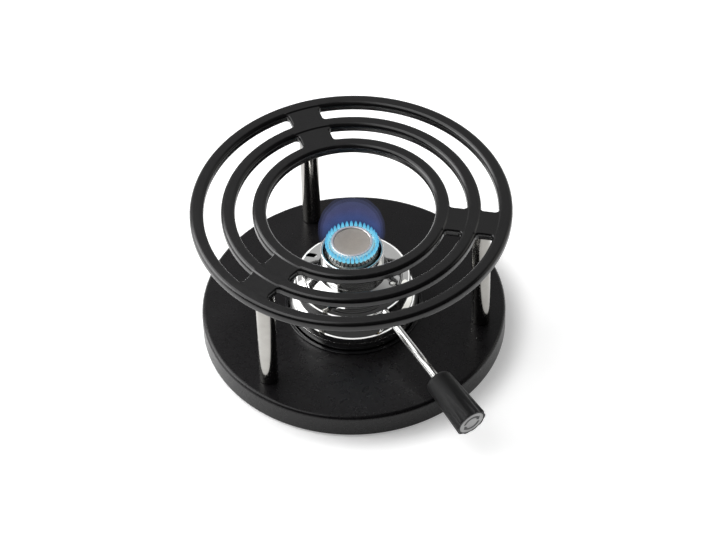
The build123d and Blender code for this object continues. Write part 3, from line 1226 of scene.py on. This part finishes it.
@dataclass
class Burner(SubAssembly):
    """Gas tank, valve cover, collar and burner head."""

    body: ClassVar[str] = "burner"

    line: LeverLine = field(default_factory=LeverLine)
    tank_radius: float = 47.3
    tank_bottom: float = 13.9
    tank_seam: float = 27.9
    tank_top: float = 40.4
    tank_wall: float = 1.0
    foot_rounding: float = 4.0
    shoulder: float = 12.0
    seam_rounding: float = 0.12
    lip_height: float = 3.0
    lip_gap: float = 0.05
    stub_radius: float = 5.05
    filler_turn: float = 122.0
    filler_circle: float = 22.0
    dimple_radius: float = 12.0
    dimple_height: float = 3.0
    dimple_segments: int = 64
    filler_hole: float = 4.05
    filler_segments: int = 48
    spring_radius: float = 1.75
    spring_wire: float = 0.25
    spring_bottom: float = 19.8
    spring_top: float = 25.0
    spring_turns: float = 4.5
    spring_steps: int = 144
    spring_sides: int = 10
    stem_travel: float = 1.2
    cover_radius: float = 42.1
    cover_edge: float = 53.4
    cover_land: float = 58.0
    cover_wall_top: float = 50.8
    cover_rounding: float = 6.0
    crown_radius: float = 37.5
    crown_height: float = 55.1
    crown_rounding: float = 10.0
    land_radius: float = 26.0
    land_rounding: float = 1.5
    land_hole: float = 21.85
    cover_seat_gap: float = 0.2
    window_count: int = 4
    window_turn: float = 61.5
    window_length: float = 9.0
    window_width: float = 4.0
    window_circle: float = 34.08
    window_steps: int = 12
    notch_radius: float = 3.8
    notch_depth: float = 12.0
    notch_start: float = 32.55
    notch_end: float = 55.1
    notch_steps: int = 16
    collar_radius: float = 23.0
    collar_bore: float = 21.2
    collar_spigot: float = 21.8
    collar_foot: float = 56.6
    collar_top: float = 78.4
    collar_edge: float = 0.8
    collar_foot_edge: float = 0.4
    head_radius: float = 19.2
    head_neck: float = 15.8
    head_top: float = 83.0
    head_bottom: float = 74.6
    head_skirt: float = 76.6
    head_wall: float = 1.7
    head_floor: float = 76.2
    head_edge: float = 0.3
    head_segments: int = 216
    socket_radius: float = 8.05
    socket_wall: float = 1.5
    socket_foot: float = 71.0
    slot_count: int = 36
    slot_width: float = 0.9
    slot_foot: float = 77.5
    slot_head: float = 81.8
    cap_top: float = 86.6
    cap_shoulder: float = 84.6
    cap_taper: float = 0.7
    cap_edge: float = 0.5
    cap_bore: float = 13.35
    cap_bore_edge: float = 0.45
    cap_ledge: float = 1.3
    disc_radius: float = 13.3
    disc_thickness: float = 1.4
    disc_edge: float = 0.4
    overrun: float = 2.0

    def filler_place(self) -> Point:
        """Middle of the filler in the tank's underside."""
        return polar(self.filler_circle, math.radians(self.filler_turn))

    def tank(self) -> None:
        """Pressed lower and upper halves of the tank."""
        inner = self.tank_radius - self.tank_wall
        floor_top = self.tank_bottom + self.tank_wall
        cup = turned_piece(
            "tank_lower",
            (
                (0, self.tank_bottom, 0),
                (self.tank_radius, self.tank_bottom, self.foot_rounding),
                (self.tank_radius, self.tank_seam, self.seam_rounding),
                (inner, self.tank_seam, 0),
                (inner, floor_top, self.foot_rounding - self.tank_wall),
                (0, floor_top, 0),
            ),
        )
        middle = self.filler_place()
        roof = self.tank_bottom + self.dimple_height
        dimple = circle_points(middle, self.dimple_radius, self.dimple_segments)
        shell = circle_points(middle, self.dimple_radius + self.tank_wall, self.dimple_segments)
        hole = circle_points(middle, self.filler_hole, self.filler_segments)
        cup = cut(cup, prisms("dimple_hole", [shell], self.tank_bottom - self.overrun, roof))
        self.keep(smooth(cup), TANK_CHROME, "tank_cup")
        ring = cut(
            prisms("tank_dimple", [shell], self.tank_bottom, roof + self.tank_wall),
            prisms("dimple_bore", [dimple], self.tank_bottom - self.overrun, roof),
            prisms("filler_bore", [hole], roof - self.overrun, roof + self.overrun),
        )
        self.keep(smooth(ring), TANK_CHROME)
        lip, roof_inside = inner - self.lip_gap, self.tank_top - self.tank_wall
        top = turned_piece(
            "tank_upper",
            (
                (self.stub_radius, roof_inside, 0),
                (self.stub_radius, self.tank_top, 0),
                (self.tank_radius, self.tank_top, self.shoulder),
                (self.tank_radius, self.tank_seam, self.seam_rounding),
                (lip, self.tank_seam, 0),
                (lip, self.tank_seam - self.lip_height, 0),
                (lip - self.tank_wall, self.tank_seam - self.lip_height, 0),
                (lip - self.tank_wall, roof_inside, self.shoulder - 2 * self.tank_wall),
            ),
        )
        self.keep(smooth(top), TANK_CHROME, "tank_top")

    def filler_spring(self) -> None:
        """Coil spring on the filler's stem."""
        start = math.radians(self.filler_turn)
        middle = Vector((*self.filler_place(), 0))
        low = self.spring_bottom + self.spring_wire
        rise = self.spring_top - self.spring_wire - low
        shape = bmesh.new()
        rings = []
        for step in range(self.spring_steps + 1):
            share = step / self.spring_steps
            turn = Matrix.Rotation(start + FULL_TURN * self.spring_turns * share, 3, "Z")
            heart = (self.spring_radius, low + rise * share)
            section = circle_points(heart, self.spring_wire, self.spring_sides)
            spots = [middle + turn @ Vector((radius, 0, height)) for radius, height in section]
            rings.append([shape.verts.new(spot * MM) for spot in spots])
        close_tube(shape, rings)
        coil = self.keep(smooth(new_piece("filler_coil", shape)), VALVE_STEEL, "filler_spring")
        share = 1 - self.stem_travel / (self.spring_top - self.spring_bottom)
        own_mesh(coil)

    def cover(self) -> None:
        """Cover over the valve, with air windows and a notch for the rod."""
        wall = self.tank_wall
        inner = self.cover_radius - wall
        lean = inner - (self.tank_radius - self.shoulder)
        rise = math.sqrt(self.shoulder**2 - lean**2)
        skirt = self.tank_top - self.shoulder + rise + self.cover_seat_gap
        cover = turned_piece(
            "cover_pressing",
            (
                (self.cover_radius, skirt, 0),
                (self.cover_radius, self.cover_wall_top, self.cover_rounding),
                (self.crown_radius, self.crown_height, self.crown_rounding),
                (self.land_radius, self.cover_land, self.land_rounding),
                (self.land_hole, self.cover_land, 0),
                (self.land_hole, self.cover_land - wall, 0),
                (self.land_radius, self.cover_land - wall, self.land_rounding),
                (self.crown_radius - wall / 2, self.crown_height - wall, self.crown_rounding),
                (inner, self.cover_wall_top - wall / 2, self.cover_rounding - wall),
                (inner, skirt, 0),
            ),
        )
        reach = (self.window_length - self.window_width) / 2
        front, back = (-QUARTER_TURN, QUARTER_TURN), (QUARTER_TURN, 3 * QUARTER_TURN)
        window: list[Point] = []
        for circle, half_turn in (
            (self.window_circle + reach, front),
            (self.window_circle - reach, back),
        ):
            window += arc_points((circle, 0), self.window_width / 2, *half_turn, self.window_steps)
        turns = even_turns(self.window_turn, self.window_count)
        windows = [turned_points(window, turn) for turn in turns]
        low, high = self.cover_edge - wall, self.cover_land + self.overrun
        notch = [(self.notch_depth, self.notch_radius), (0, self.notch_radius)]
        notch += arc_points((0, 0), self.notch_radius, *back, self.notch_steps)[1:]
        notch += [(self.notch_depth, -self.notch_radius)]
        groove = prisms("rod_notch", [notch], self.notch_start, self.notch_end)
        groove.matrix_world = self.line.matrix()
        bpy.context.view_layer.update()
        cover = cut(cover, prisms("air_windows", windows, low, high), groove)
        self.keep(smooth(cover), TANK_CHROME, "burner_cover")

    def collar(self) -> None:
        """Tall collar round the burner head."""
        collar = turned_piece(
            "collar_tube",
            (
                (self.collar_bore, self.collar_foot, 0),
                (self.collar_spigot, self.collar_foot, 0),
                (self.collar_spigot, self.cover_land, 0),
                (self.collar_radius, self.cover_land, self.collar_foot_edge),
                (self.collar_radius, self.collar_top, self.collar_edge),
                (self.collar_bore, self.collar_top, self.collar_edge),
            ),
        )
        self.keep(smooth(collar), TANK_CHROME, "flame_collar")

    def head(self) -> None:
        """Slotted crown, bright ring and gauze disc."""
        sleeve = self.socket_radius + self.socket_wall
        crown = turned_piece(
            "head_crown",
            (
                (self.socket_radius, self.socket_foot, 0),
                (sleeve, self.socket_foot, 0),
                (sleeve, self.head_bottom, 0),
                (self.head_radius, self.head_bottom, self.head_edge),
                (self.head_radius, self.head_skirt, self.head_edge),
                (self.head_neck, self.head_top, 0),
                (self.head_neck - self.head_wall, self.head_top, 0),
                (self.head_radius - self.head_wall, self.head_floor, 0),
                (self.socket_radius, self.head_floor, 0),
            ),
            segments=self.head_segments,
        )
        middle = (self.head_radius + self.head_neck) / 2
        reach = self.head_radius - self.head_neck + self.head_wall
        half = self.slot_width / 2
        near, far = middle - reach, middle + reach
        slot = [(near, -half), (far, -half), (far, half), (near, half)]
        step = FULL_TURN / self.slot_count
        slots = [turned_points(slot, step * index) for index in range(self.slot_count)]
        crown = cut(crown, prisms("flame_slots", slots, self.slot_foot, self.slot_head))
        self.keep(smooth(crown), HEAD_STEEL, "burner_head")
        cap = turned_piece(
            "head_ring",
            (
                (self.cap_bore - self.cap_ledge, self.head_top, 0),
                (self.head_neck, self.head_top, 0),
                (self.head_neck, self.cap_shoulder, self.cap_edge),
                (self.head_neck - self.cap_taper, self.cap_top, self.cap_edge),
                (self.cap_bore, self.cap_top, self.cap_bore_edge),
                (self.cap_bore, self.cap_shoulder, 0),
                (self.cap_bore - self.cap_ledge, self.cap_shoulder, 0),
            ),
        )
        self.keep(smooth(cap), CAP_CHROME, "cap_ring")
        disc_top = self.cap_shoulder + self.disc_thickness
        disc = turned_piece(
            "head_gauze",
            (
                (0, self.cap_shoulder, 0),
                (self.disc_radius, self.cap_shoulder, 0),
                (self.disc_radius, disc_top, self.disc_edge),
                (0, disc_top, 0),
            ),
        )
        self.keep(smooth(disc), DISC_GAUZE, "flame_disc")

    def build(self) -> None:
        """Build the tank, its filler spring, the cover, the collar and the head."""
        self.tank()
        self.filler_spring()
        self.cover()
        self.collar()
        self.head()


@dataclass
class Regulator(SubAssembly):
    """Polished rod with a fluted knob and its end disc."""

    body: ClassVar[str] = "regulator"

    line: LeverLine = field(default_factory=LeverLine)
    rod_radius: float = 3.0
    spigot_radius: float = 2.2
    spigot_start: float = 21.4
    spigot_edge: float = 0.2
    rod_shoulder: float = 27.0
    rod_shoulder_edge: float = 0.4
    rod_end: float = 135.6
    rod_end_edge: float = 0.3
    rod_segments: int = 72
    socket_width: float = 1.92
    socket_end: float = 29.5
    knob_start: float = 109.6
    knob_end: float = 153.6
    knob_small: float = 10.0
    knob_large: float = 12.2
    knob_nose: float = 4.0
    knob_rim: float = 0.8
    knob_segments: int = 320
    knob_run: float = 1.2
    flute_count: int = 10
    flute_radius: float = 4.2
    flute_depth: float = 1.2
    flute_blend: float = 0.5
    bore_radius: float = 4.65
    bore_end: float = 137.6
    bore_edge: float = 0.3
    disc_radius: float = 9.9
    disc_recess: float = 9.95
    recess_edge: float = 0.15
    disc_thickness: float = 1.2
    disc_edge: float = 0.3
    mark_radius: float = 6.1
    mark_width: float = 1.9
    mark_head: float = 1.9
    mark_sweep: float = 132.0
    mark_turn: float = 258.0
    mark_height: float = 0.06
    mark_count: int = 2
    mark_steps: int = 24
    overrun: float = 2.0

    def laid(self, piece: bpy.types.Object) -> bpy.types.Object:
        """Lay an upright piece along the regulator's line."""
        piece.matrix_world = self.line.matrix()
        return piece

    def fluted(self, radius: float, height: float, angle: float) -> float:
        """Radius of the knob where a flute cuts it.

        Args:
            radius: radius of the unfluted knob.
            height: distance along the knob.
            angle: direction round the knob, in radians.

        Returns:
            The smaller of the knob's and the flute's radius, with a soft edge between them.
        """
        in_bore = radius < self.knob_small - self.knob_nose
        in_recess = radius <= self.disc_recess and height > self.bore_end
        if in_bore or in_recess:
            return radius
        middle = self.knob_large - self.flute_depth + self.flute_radius
        step = FULL_TURN / self.flute_count
        lean = math.remainder(angle, step)
        inside = self.flute_radius**2 - (middle * math.sin(lean)) ** 2
        if inside <= 0:
            return radius
        flute = middle * math.cos(lean) - math.sqrt(inside)
        blend = max(self.flute_blend - abs(radius - flute), 0) / self.flute_blend
        return min(radius, flute) - blend**2 * self.flute_blend / 4

    def rod(self) -> None:
        """Rod with its spigot and the square socket for the needle."""
        rod = turned_piece(
            "regulator_bar",
            (
                (0, self.spigot_start, 0),
                (self.spigot_radius, self.spigot_start, self.spigot_edge),
                (self.spigot_radius, self.rod_shoulder, 0),
                (self.rod_radius, self.rod_shoulder, self.rod_shoulder_edge),
                (self.rod_radius, self.rod_end, self.rod_end_edge),
                (0, self.rod_end, 0),
            ),
            segments=self.rod_segments,
        )
        half = self.socket_width / 2
        square = [(-half, -half), (half, -half), (half, half), (-half, half)]
        low = self.spigot_start - self.overrun
        rod = cut(rod, prisms("needle_socket", [square], low, self.socket_end))
        self.keep(self.laid(smooth(rod)), ROD_CHROME, "regulator_rod")

    def knob(self) -> None:
        """Tapered knob whose flutes deepen towards its end."""
        recess = self.knob_end - self.disc_thickness
        knob = turned_piece(
            "knob_grip",
            (
                (0, self.bore_end, 0),
                (self.bore_radius, self.bore_end, 0),
                (self.bore_radius, self.knob_start, self.bore_edge),
                (self.knob_small, self.knob_start, self.knob_nose),
                (self.knob_large, self.knob_end, self.knob_rim),
                (self.disc_recess, self.knob_end, self.recess_edge),
                (self.disc_recess, recess, 0),
                (0, recess, 0),
            ),
            segments=self.knob_segments,
            longest=self.knob_run,
            reshape=self.fluted,
        )
        self.keep(self.laid(smooth(knob)), KNOB_PLASTIC, "regulator_knob")

    def end_disc(self) -> None:
        """Bright end disc and the pair of turning arrows on it."""
        low = self.knob_end - self.disc_thickness
        disc = turned_piece(
            "knob_plate",
            (
                (0, low, 0),
                (self.disc_radius, low, 0),
                (self.disc_radius, self.knob_end, self.disc_edge),
                (0, self.knob_end, 0),
            ),
        )
        self.keep(self.laid(smooth(disc)), DISC_ALUMINIUM, "knob_end_disc")
        half = self.mark_width / 2
        sweep = math.radians(self.mark_sweep)
        tip = sweep + 2 * self.mark_head / self.mark_radius
        arrow = arc_points((0, 0), self.mark_radius + half, 0, sweep, self.mark_steps)
        for radius, angle in (
            (self.mark_radius + self.mark_head, sweep),
            (self.mark_radius, tip),
            (self.mark_radius - self.mark_head, sweep),
        ):
            arrow.append(polar(radius, angle))
        arrow += arc_points((0, 0), self.mark_radius - half, sweep, 0, self.mark_steps)
        clockwise = [(x, -y) for x, y in arrow]
        turns = even_turns(self.mark_turn, self.mark_count)
        arrows = [turned_points(clockwise, turn) for turn in turns]
        mark = prisms("knob_arrows", arrows, self.knob_end, self.knob_end + self.mark_height)
        self.keep(self.laid(mark), MARK_INK, slot=False)

    def build(self) -> None:
        """Build the rod, the knob and its end disc."""
        self.rod()
        self.knob()
        self.end_disc()


@dataclass
class Flame(SubAssembly):
    """Burning gas: a ring of small teeth and a pale plume over them."""

    body: ClassVar[str] = "burner"

    tooth_count: int = 36
    tooth_sides: int = 10
    tooth_line: tuple[Corner, ...] = (
        (16.3, 80.4, 0.30),
        (17.0, 81.2, 0.80),
        (17.7, 82.2, 1.12),
        (18.2, 83.4, 1.24),
        (18.5, 84.9, 1.16),
        (18.7, 86.6, 0.84),
        (18.7, 88.2, 0.34),
    )
    plume_line: tuple[Point, ...] = (
        (18.5, 84.0),
        (21.8, 87.0),
        (23.6, 91.0),
        (24.3, 96.0),
        (24.0, 102.0),
        (22.4, 108.0),
        (19.0, 114.0),
        (13.0, 119.5),
        (6.0, 122.0),
    )
    plume_shares: tuple[float, ...] = (1.0, 0.94, 0.87)
    plume_segments: int = 96
    hide_height: float = 70.0
    closed_share: float = 0.02

    def teeth(self) -> None:
        """Ring of teeth, one at each slot of the head."""
        shape = bmesh.new()
        step = FULL_TURN / self.tooth_count
        for index in range(self.tooth_count):
            turn = Matrix.Rotation(step * index, 3, "Z")
            rings = []
            for radius, height, half in self.tooth_line:
                ring = []
                for side in range(self.tooth_sides):
                    angle = FULL_TURN * side / self.tooth_sides
                    spot = (radius + half * math.cos(angle), half * math.sin(angle), height)
                    ring.append(shape.verts.new(turn @ Vector(spot) * MM))
                rings.append(ring)
            close_tube(shape, rings)
        self.lit(new_piece("flame_teeth", shape), TEETH_GLOW)

    def plume(self) -> None:
        """Pale envelope over the teeth, in thin layers that soften its edge."""
        foot = self.plume_line[0][1]
        shape = bmesh.new()
        for share in self.plume_shares:
            corners = [(0, foot, 0)]
            for radius, height in self.plume_line:
                corners.append((radius * share, foot + (height - foot) * share, 0))
            corners.append((0, corners[-1][1], 0))
            layer = turned_piece("flame_layer", corners, segments=self.plume_segments)
            shape.from_mesh(layer.data)
            bpy.data.meshes.remove(layer.data)
        self.lit(new_piece("flame_plume", shape), PLUME_GLOW)

    def lit(self, piece: bpy.types.Object, glow: Glow) -> None:
        """Smooth and dress a piece of flame.

        Args:
            piece: the piece of flame.
            glow: its light.
        """
        piece.data.shade_smooth()
        self.keep(piece, glow, slot=False)
        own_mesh(piece)

    def build(self) -> None:
        """Build the teeth and the plume."""
        self.teeth()
        self.plume()


# Studio


def soft_step(
    tree: bpy.types.NodeTree, source: bpy.types.NodeSocket, ends: Point, values: Point
) -> bpy.types.NodeSocket:
    """Change smoothly from one value to another along a third.

    Args:
        tree: the nodes that the change is written in.
        source: the value that it follows.
        ends: where the change starts and ends.
        values: what it starts and ends with.

    Returns:
        The changing value.
    """
    fade = tree.nodes.new("ShaderNodeMapRange")
    fade.interpolation_type = "SMOOTHSTEP"
    fade.inputs["From Min"].default_value, fade.inputs["From Max"].default_value = ends
    fade.inputs["To Min"].default_value, fade.inputs["To Max"].default_value = values
    tree.links.new(source, fade.inputs["Value"])
    return fade.outputs["Result"]


@dataclass(frozen=True)
class Lamp:
    """A square soft light that points at the burner; sizes in metres, power in watts."""

    name: str
    place: Colour
    aim: Colour
    size: float
    power: float
    colour: Colour = (1.0, 1.0, 1.0)

    def build(self) -> None:
        """Hang the lamp."""
        light = bpy.data.lights.new(self.name, "AREA")
        light.shape = "SQUARE"
        light.size = self.size
        light.energy = self.power
        light.color = self.colour
        lamp = bpy.data.objects.new(self.name, light)
        lamp.location = self.place
        look = Vector(self.aim) - Vector(self.place)
        lamp.rotation_euler = look.to_track_quat("-Z", "Y").to_euler()
        bpy.context.scene.collection.objects.link(lamp)


@dataclass
class Studio:
    """Pale floor, soft light and the camera; lengths in metres."""

    target: Colour = (0.0, 0.0, 0.060)
    distance: float = 2.4
    elevation: float = 46.65
    roll: float = -1.69
    focal_pixels: float = 3296.4
    image_width: float = 716.0
    target_offset: Point = (-5.36, -3.81)
    sensor: float = 36.0
    clip_start: float = 0.01
    floor_size: float = 8.0
    floor_drop: float = 0.0002
    floor_colour: Colour = (0.80, 0.80, 0.80)
    floor_roughness: float = 0.9
    # The floor's lift is lower near the burner than away from it: painted shade that darkens the
    # floor round the base.
    painted_shade_lift: float = 0.33
    clear_floor_lift: float = 0.62
    painted_shade_reach: Point = (0.113, 0.136)
    sky_front: float = 0.05
    sky_back: float = 0.52
    sky_reach: Point = (0.15, 0.65)
    lamps: tuple[Lamp, ...] = (
        Lamp("key_lamp", (-0.64, 0.14, 1.00), (-0.05, 0, 0.03), 1.2, 12.5),
        Lamp("left_card", (-1.15, 0.25, 0.55), (0, 0, 0.06), 0.9, 12.5),
        Lamp("right_card", (1.10, 0.25, 0.45), (0, 0, 0.06), 0.7, 1.3, (1.0, 0.99, 0.93)),
    )

    def camera(self) -> None:
        """Set the camera at the photograph's angle."""
        lens = bpy.data.cameras.new("camera")
        lens.sensor_width = self.sensor
        lens.lens = self.focal_pixels / self.image_width * self.sensor
        lens.shift_x = -self.target_offset[0] / self.image_width
        lens.shift_y = self.target_offset[1] / self.image_width
        lens.clip_start = self.clip_start
        tilt, roll = math.radians(self.elevation), math.radians(self.roll)
        right, up = Vector((1, 0, 0)), Vector((0, math.sin(tilt), math.cos(tilt)))
        back = Vector((0, -math.cos(tilt), math.sin(tilt)))
        rolled_right = math.cos(roll) * right + math.sin(roll) * up
        rolled_up = math.cos(roll) * up - math.sin(roll) * right
        turn = Matrix((rolled_right, rolled_up, back)).transposed()
        camera = bpy.data.objects.new("camera", lens)
        place = Vector(self.target) + back * self.distance
        camera.matrix_world = Matrix.Translation(place) @ turn.to_4x4()
        bpy.context.scene.collection.objects.link(camera)
        bpy.context.scene.camera = camera

    def seen_share(self, tree: bpy.types.NodeTree) -> bpy.types.NodeSocket:
        """One for rays from the camera, from gloss and through glass, zero for other light.

        Args:
            tree: the nodes that the share is written in.

        Returns:
            The share.
        """
        path = tree.nodes.new("ShaderNodeLightPath")
        seen = path.outputs["Is Camera Ray"]
        for ray in ("Is Glossy Ray", "Is Transmission Ray"):
            larger = tree.nodes.new("ShaderNodeMath")
            larger.operation = "MAXIMUM"
            tree.links.new(seen, larger.inputs[0])
            tree.links.new(path.outputs[ray], larger.inputs[1])
            seen = larger.outputs["Value"]
        return seen

    def floor(self) -> None:
        """Lay the pale floor, which looks white, keeps the shadow and has painted shade near the
        base.
        """
        half = self.floor_size / 2
        shape = bmesh.new()
        corners = ((-half, -half), (half, -half), (half, half), (-half, half))
        shape.faces.new([shape.verts.new((x, y, -self.floor_drop)) for x, y in corners])
        floor = new_piece("floor", shape)
        material = bpy.data.materials.new("floor_paper")
        material.use_nodes = True
        tree = material.node_tree
        surface = tree.nodes["Principled BSDF"]
        surface.inputs["Base Color"].default_value = (*self.floor_colour, 1.0)
        surface.inputs["Roughness"].default_value = self.floor_roughness
        surface.inputs["Specular IOR Level"].default_value = 0.0
        surface.inputs["Emission Color"].default_value = (1.0, 1.0, 1.0, 1.0)
        place = tree.nodes.new("ShaderNodeTexCoord")
        away = tree.nodes.new("ShaderNodeVectorMath")
        away.operation = "LENGTH"
        tree.links.new(place.outputs["Object"], away.inputs[0])
        lifts = (self.painted_shade_lift, self.clear_floor_lift)
        # Lower lift near the base than away from it: painted shade round the burner.
        fade = soft_step(tree, away.outputs["Value"], self.painted_shade_reach, lifts)
        lift = tree.nodes.new("ShaderNodeMath")
        lift.operation = "MULTIPLY"
        tree.links.new(self.seen_share(tree), lift.inputs[0])
        tree.links.new(fade, lift.inputs[1])
        tree.links.new(lift.outputs["Value"], surface.inputs["Emission Strength"])
        floor.data.materials.append(material)

    def sky(self) -> None:
        """Surround the scene with a soft white that is brighter at the back than at the front."""
        world = bpy.data.worlds.new("studio_white")
        world.use_nodes = True
        tree = world.node_tree
        white = tree.nodes["Background"]
        white.inputs["Color"].default_value = (1.0, 1.0, 1.0, 1.0)
        direction = tree.nodes.new("ShaderNodeTexCoord")
        split = tree.nodes.new("ShaderNodeSeparateXYZ")
        tree.links.new(direction.outputs["Generated"], split.inputs["Vector"])
        levels = (self.sky_front, self.sky_back)
        fade = soft_step(tree, split.outputs["Y"], self.sky_reach, levels)
        tree.links.new(fade, white.inputs["Strength"])
        bpy.context.scene.world = world

    def build(self) -> None:
        """Set up the camera, the floor, the surroundings and the lamps."""
        bpy.context.scene.view_settings.view_transform = "Standard"
        self.camera()
        self.floor()
        self.sky()
        for lamp in self.lamps:
            lamp.build()


def dress_hidden(nodes: dict[str, bpy.types.Object]) -> None:
    """Give the frame's own shown nodes their finishes.

    Args:
        nodes: the frame's nodes by name.
    """
    for name, finish in HIDDEN_FINISHES.items():
        node = nodes[name]
        if not node.material_slots:
            node.data.materials.append(None)
        for slot in node.material_slots:
            slot.material = finish.material()
        LOG.info("dressed node %s with %s", name, finish.name)


def main() -> None:
    """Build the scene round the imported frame, one sub-assembly after the other."""
    logging.basicConfig(level=logging.INFO, format="%(name)s: %(message)s")
    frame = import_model()
    Studio().build()
    dress_hidden(frame["nodes"])
    for assembly in (Stand(), Dish(), Burner(), Regulator(), Flame()):
        assembly.build()
        for piece in assembly.pieces:
            LOG.info("%s: %s rides on %s", type(assembly).__name__, piece.name, assembly.body)


if __name__ == "__main__":
    main()
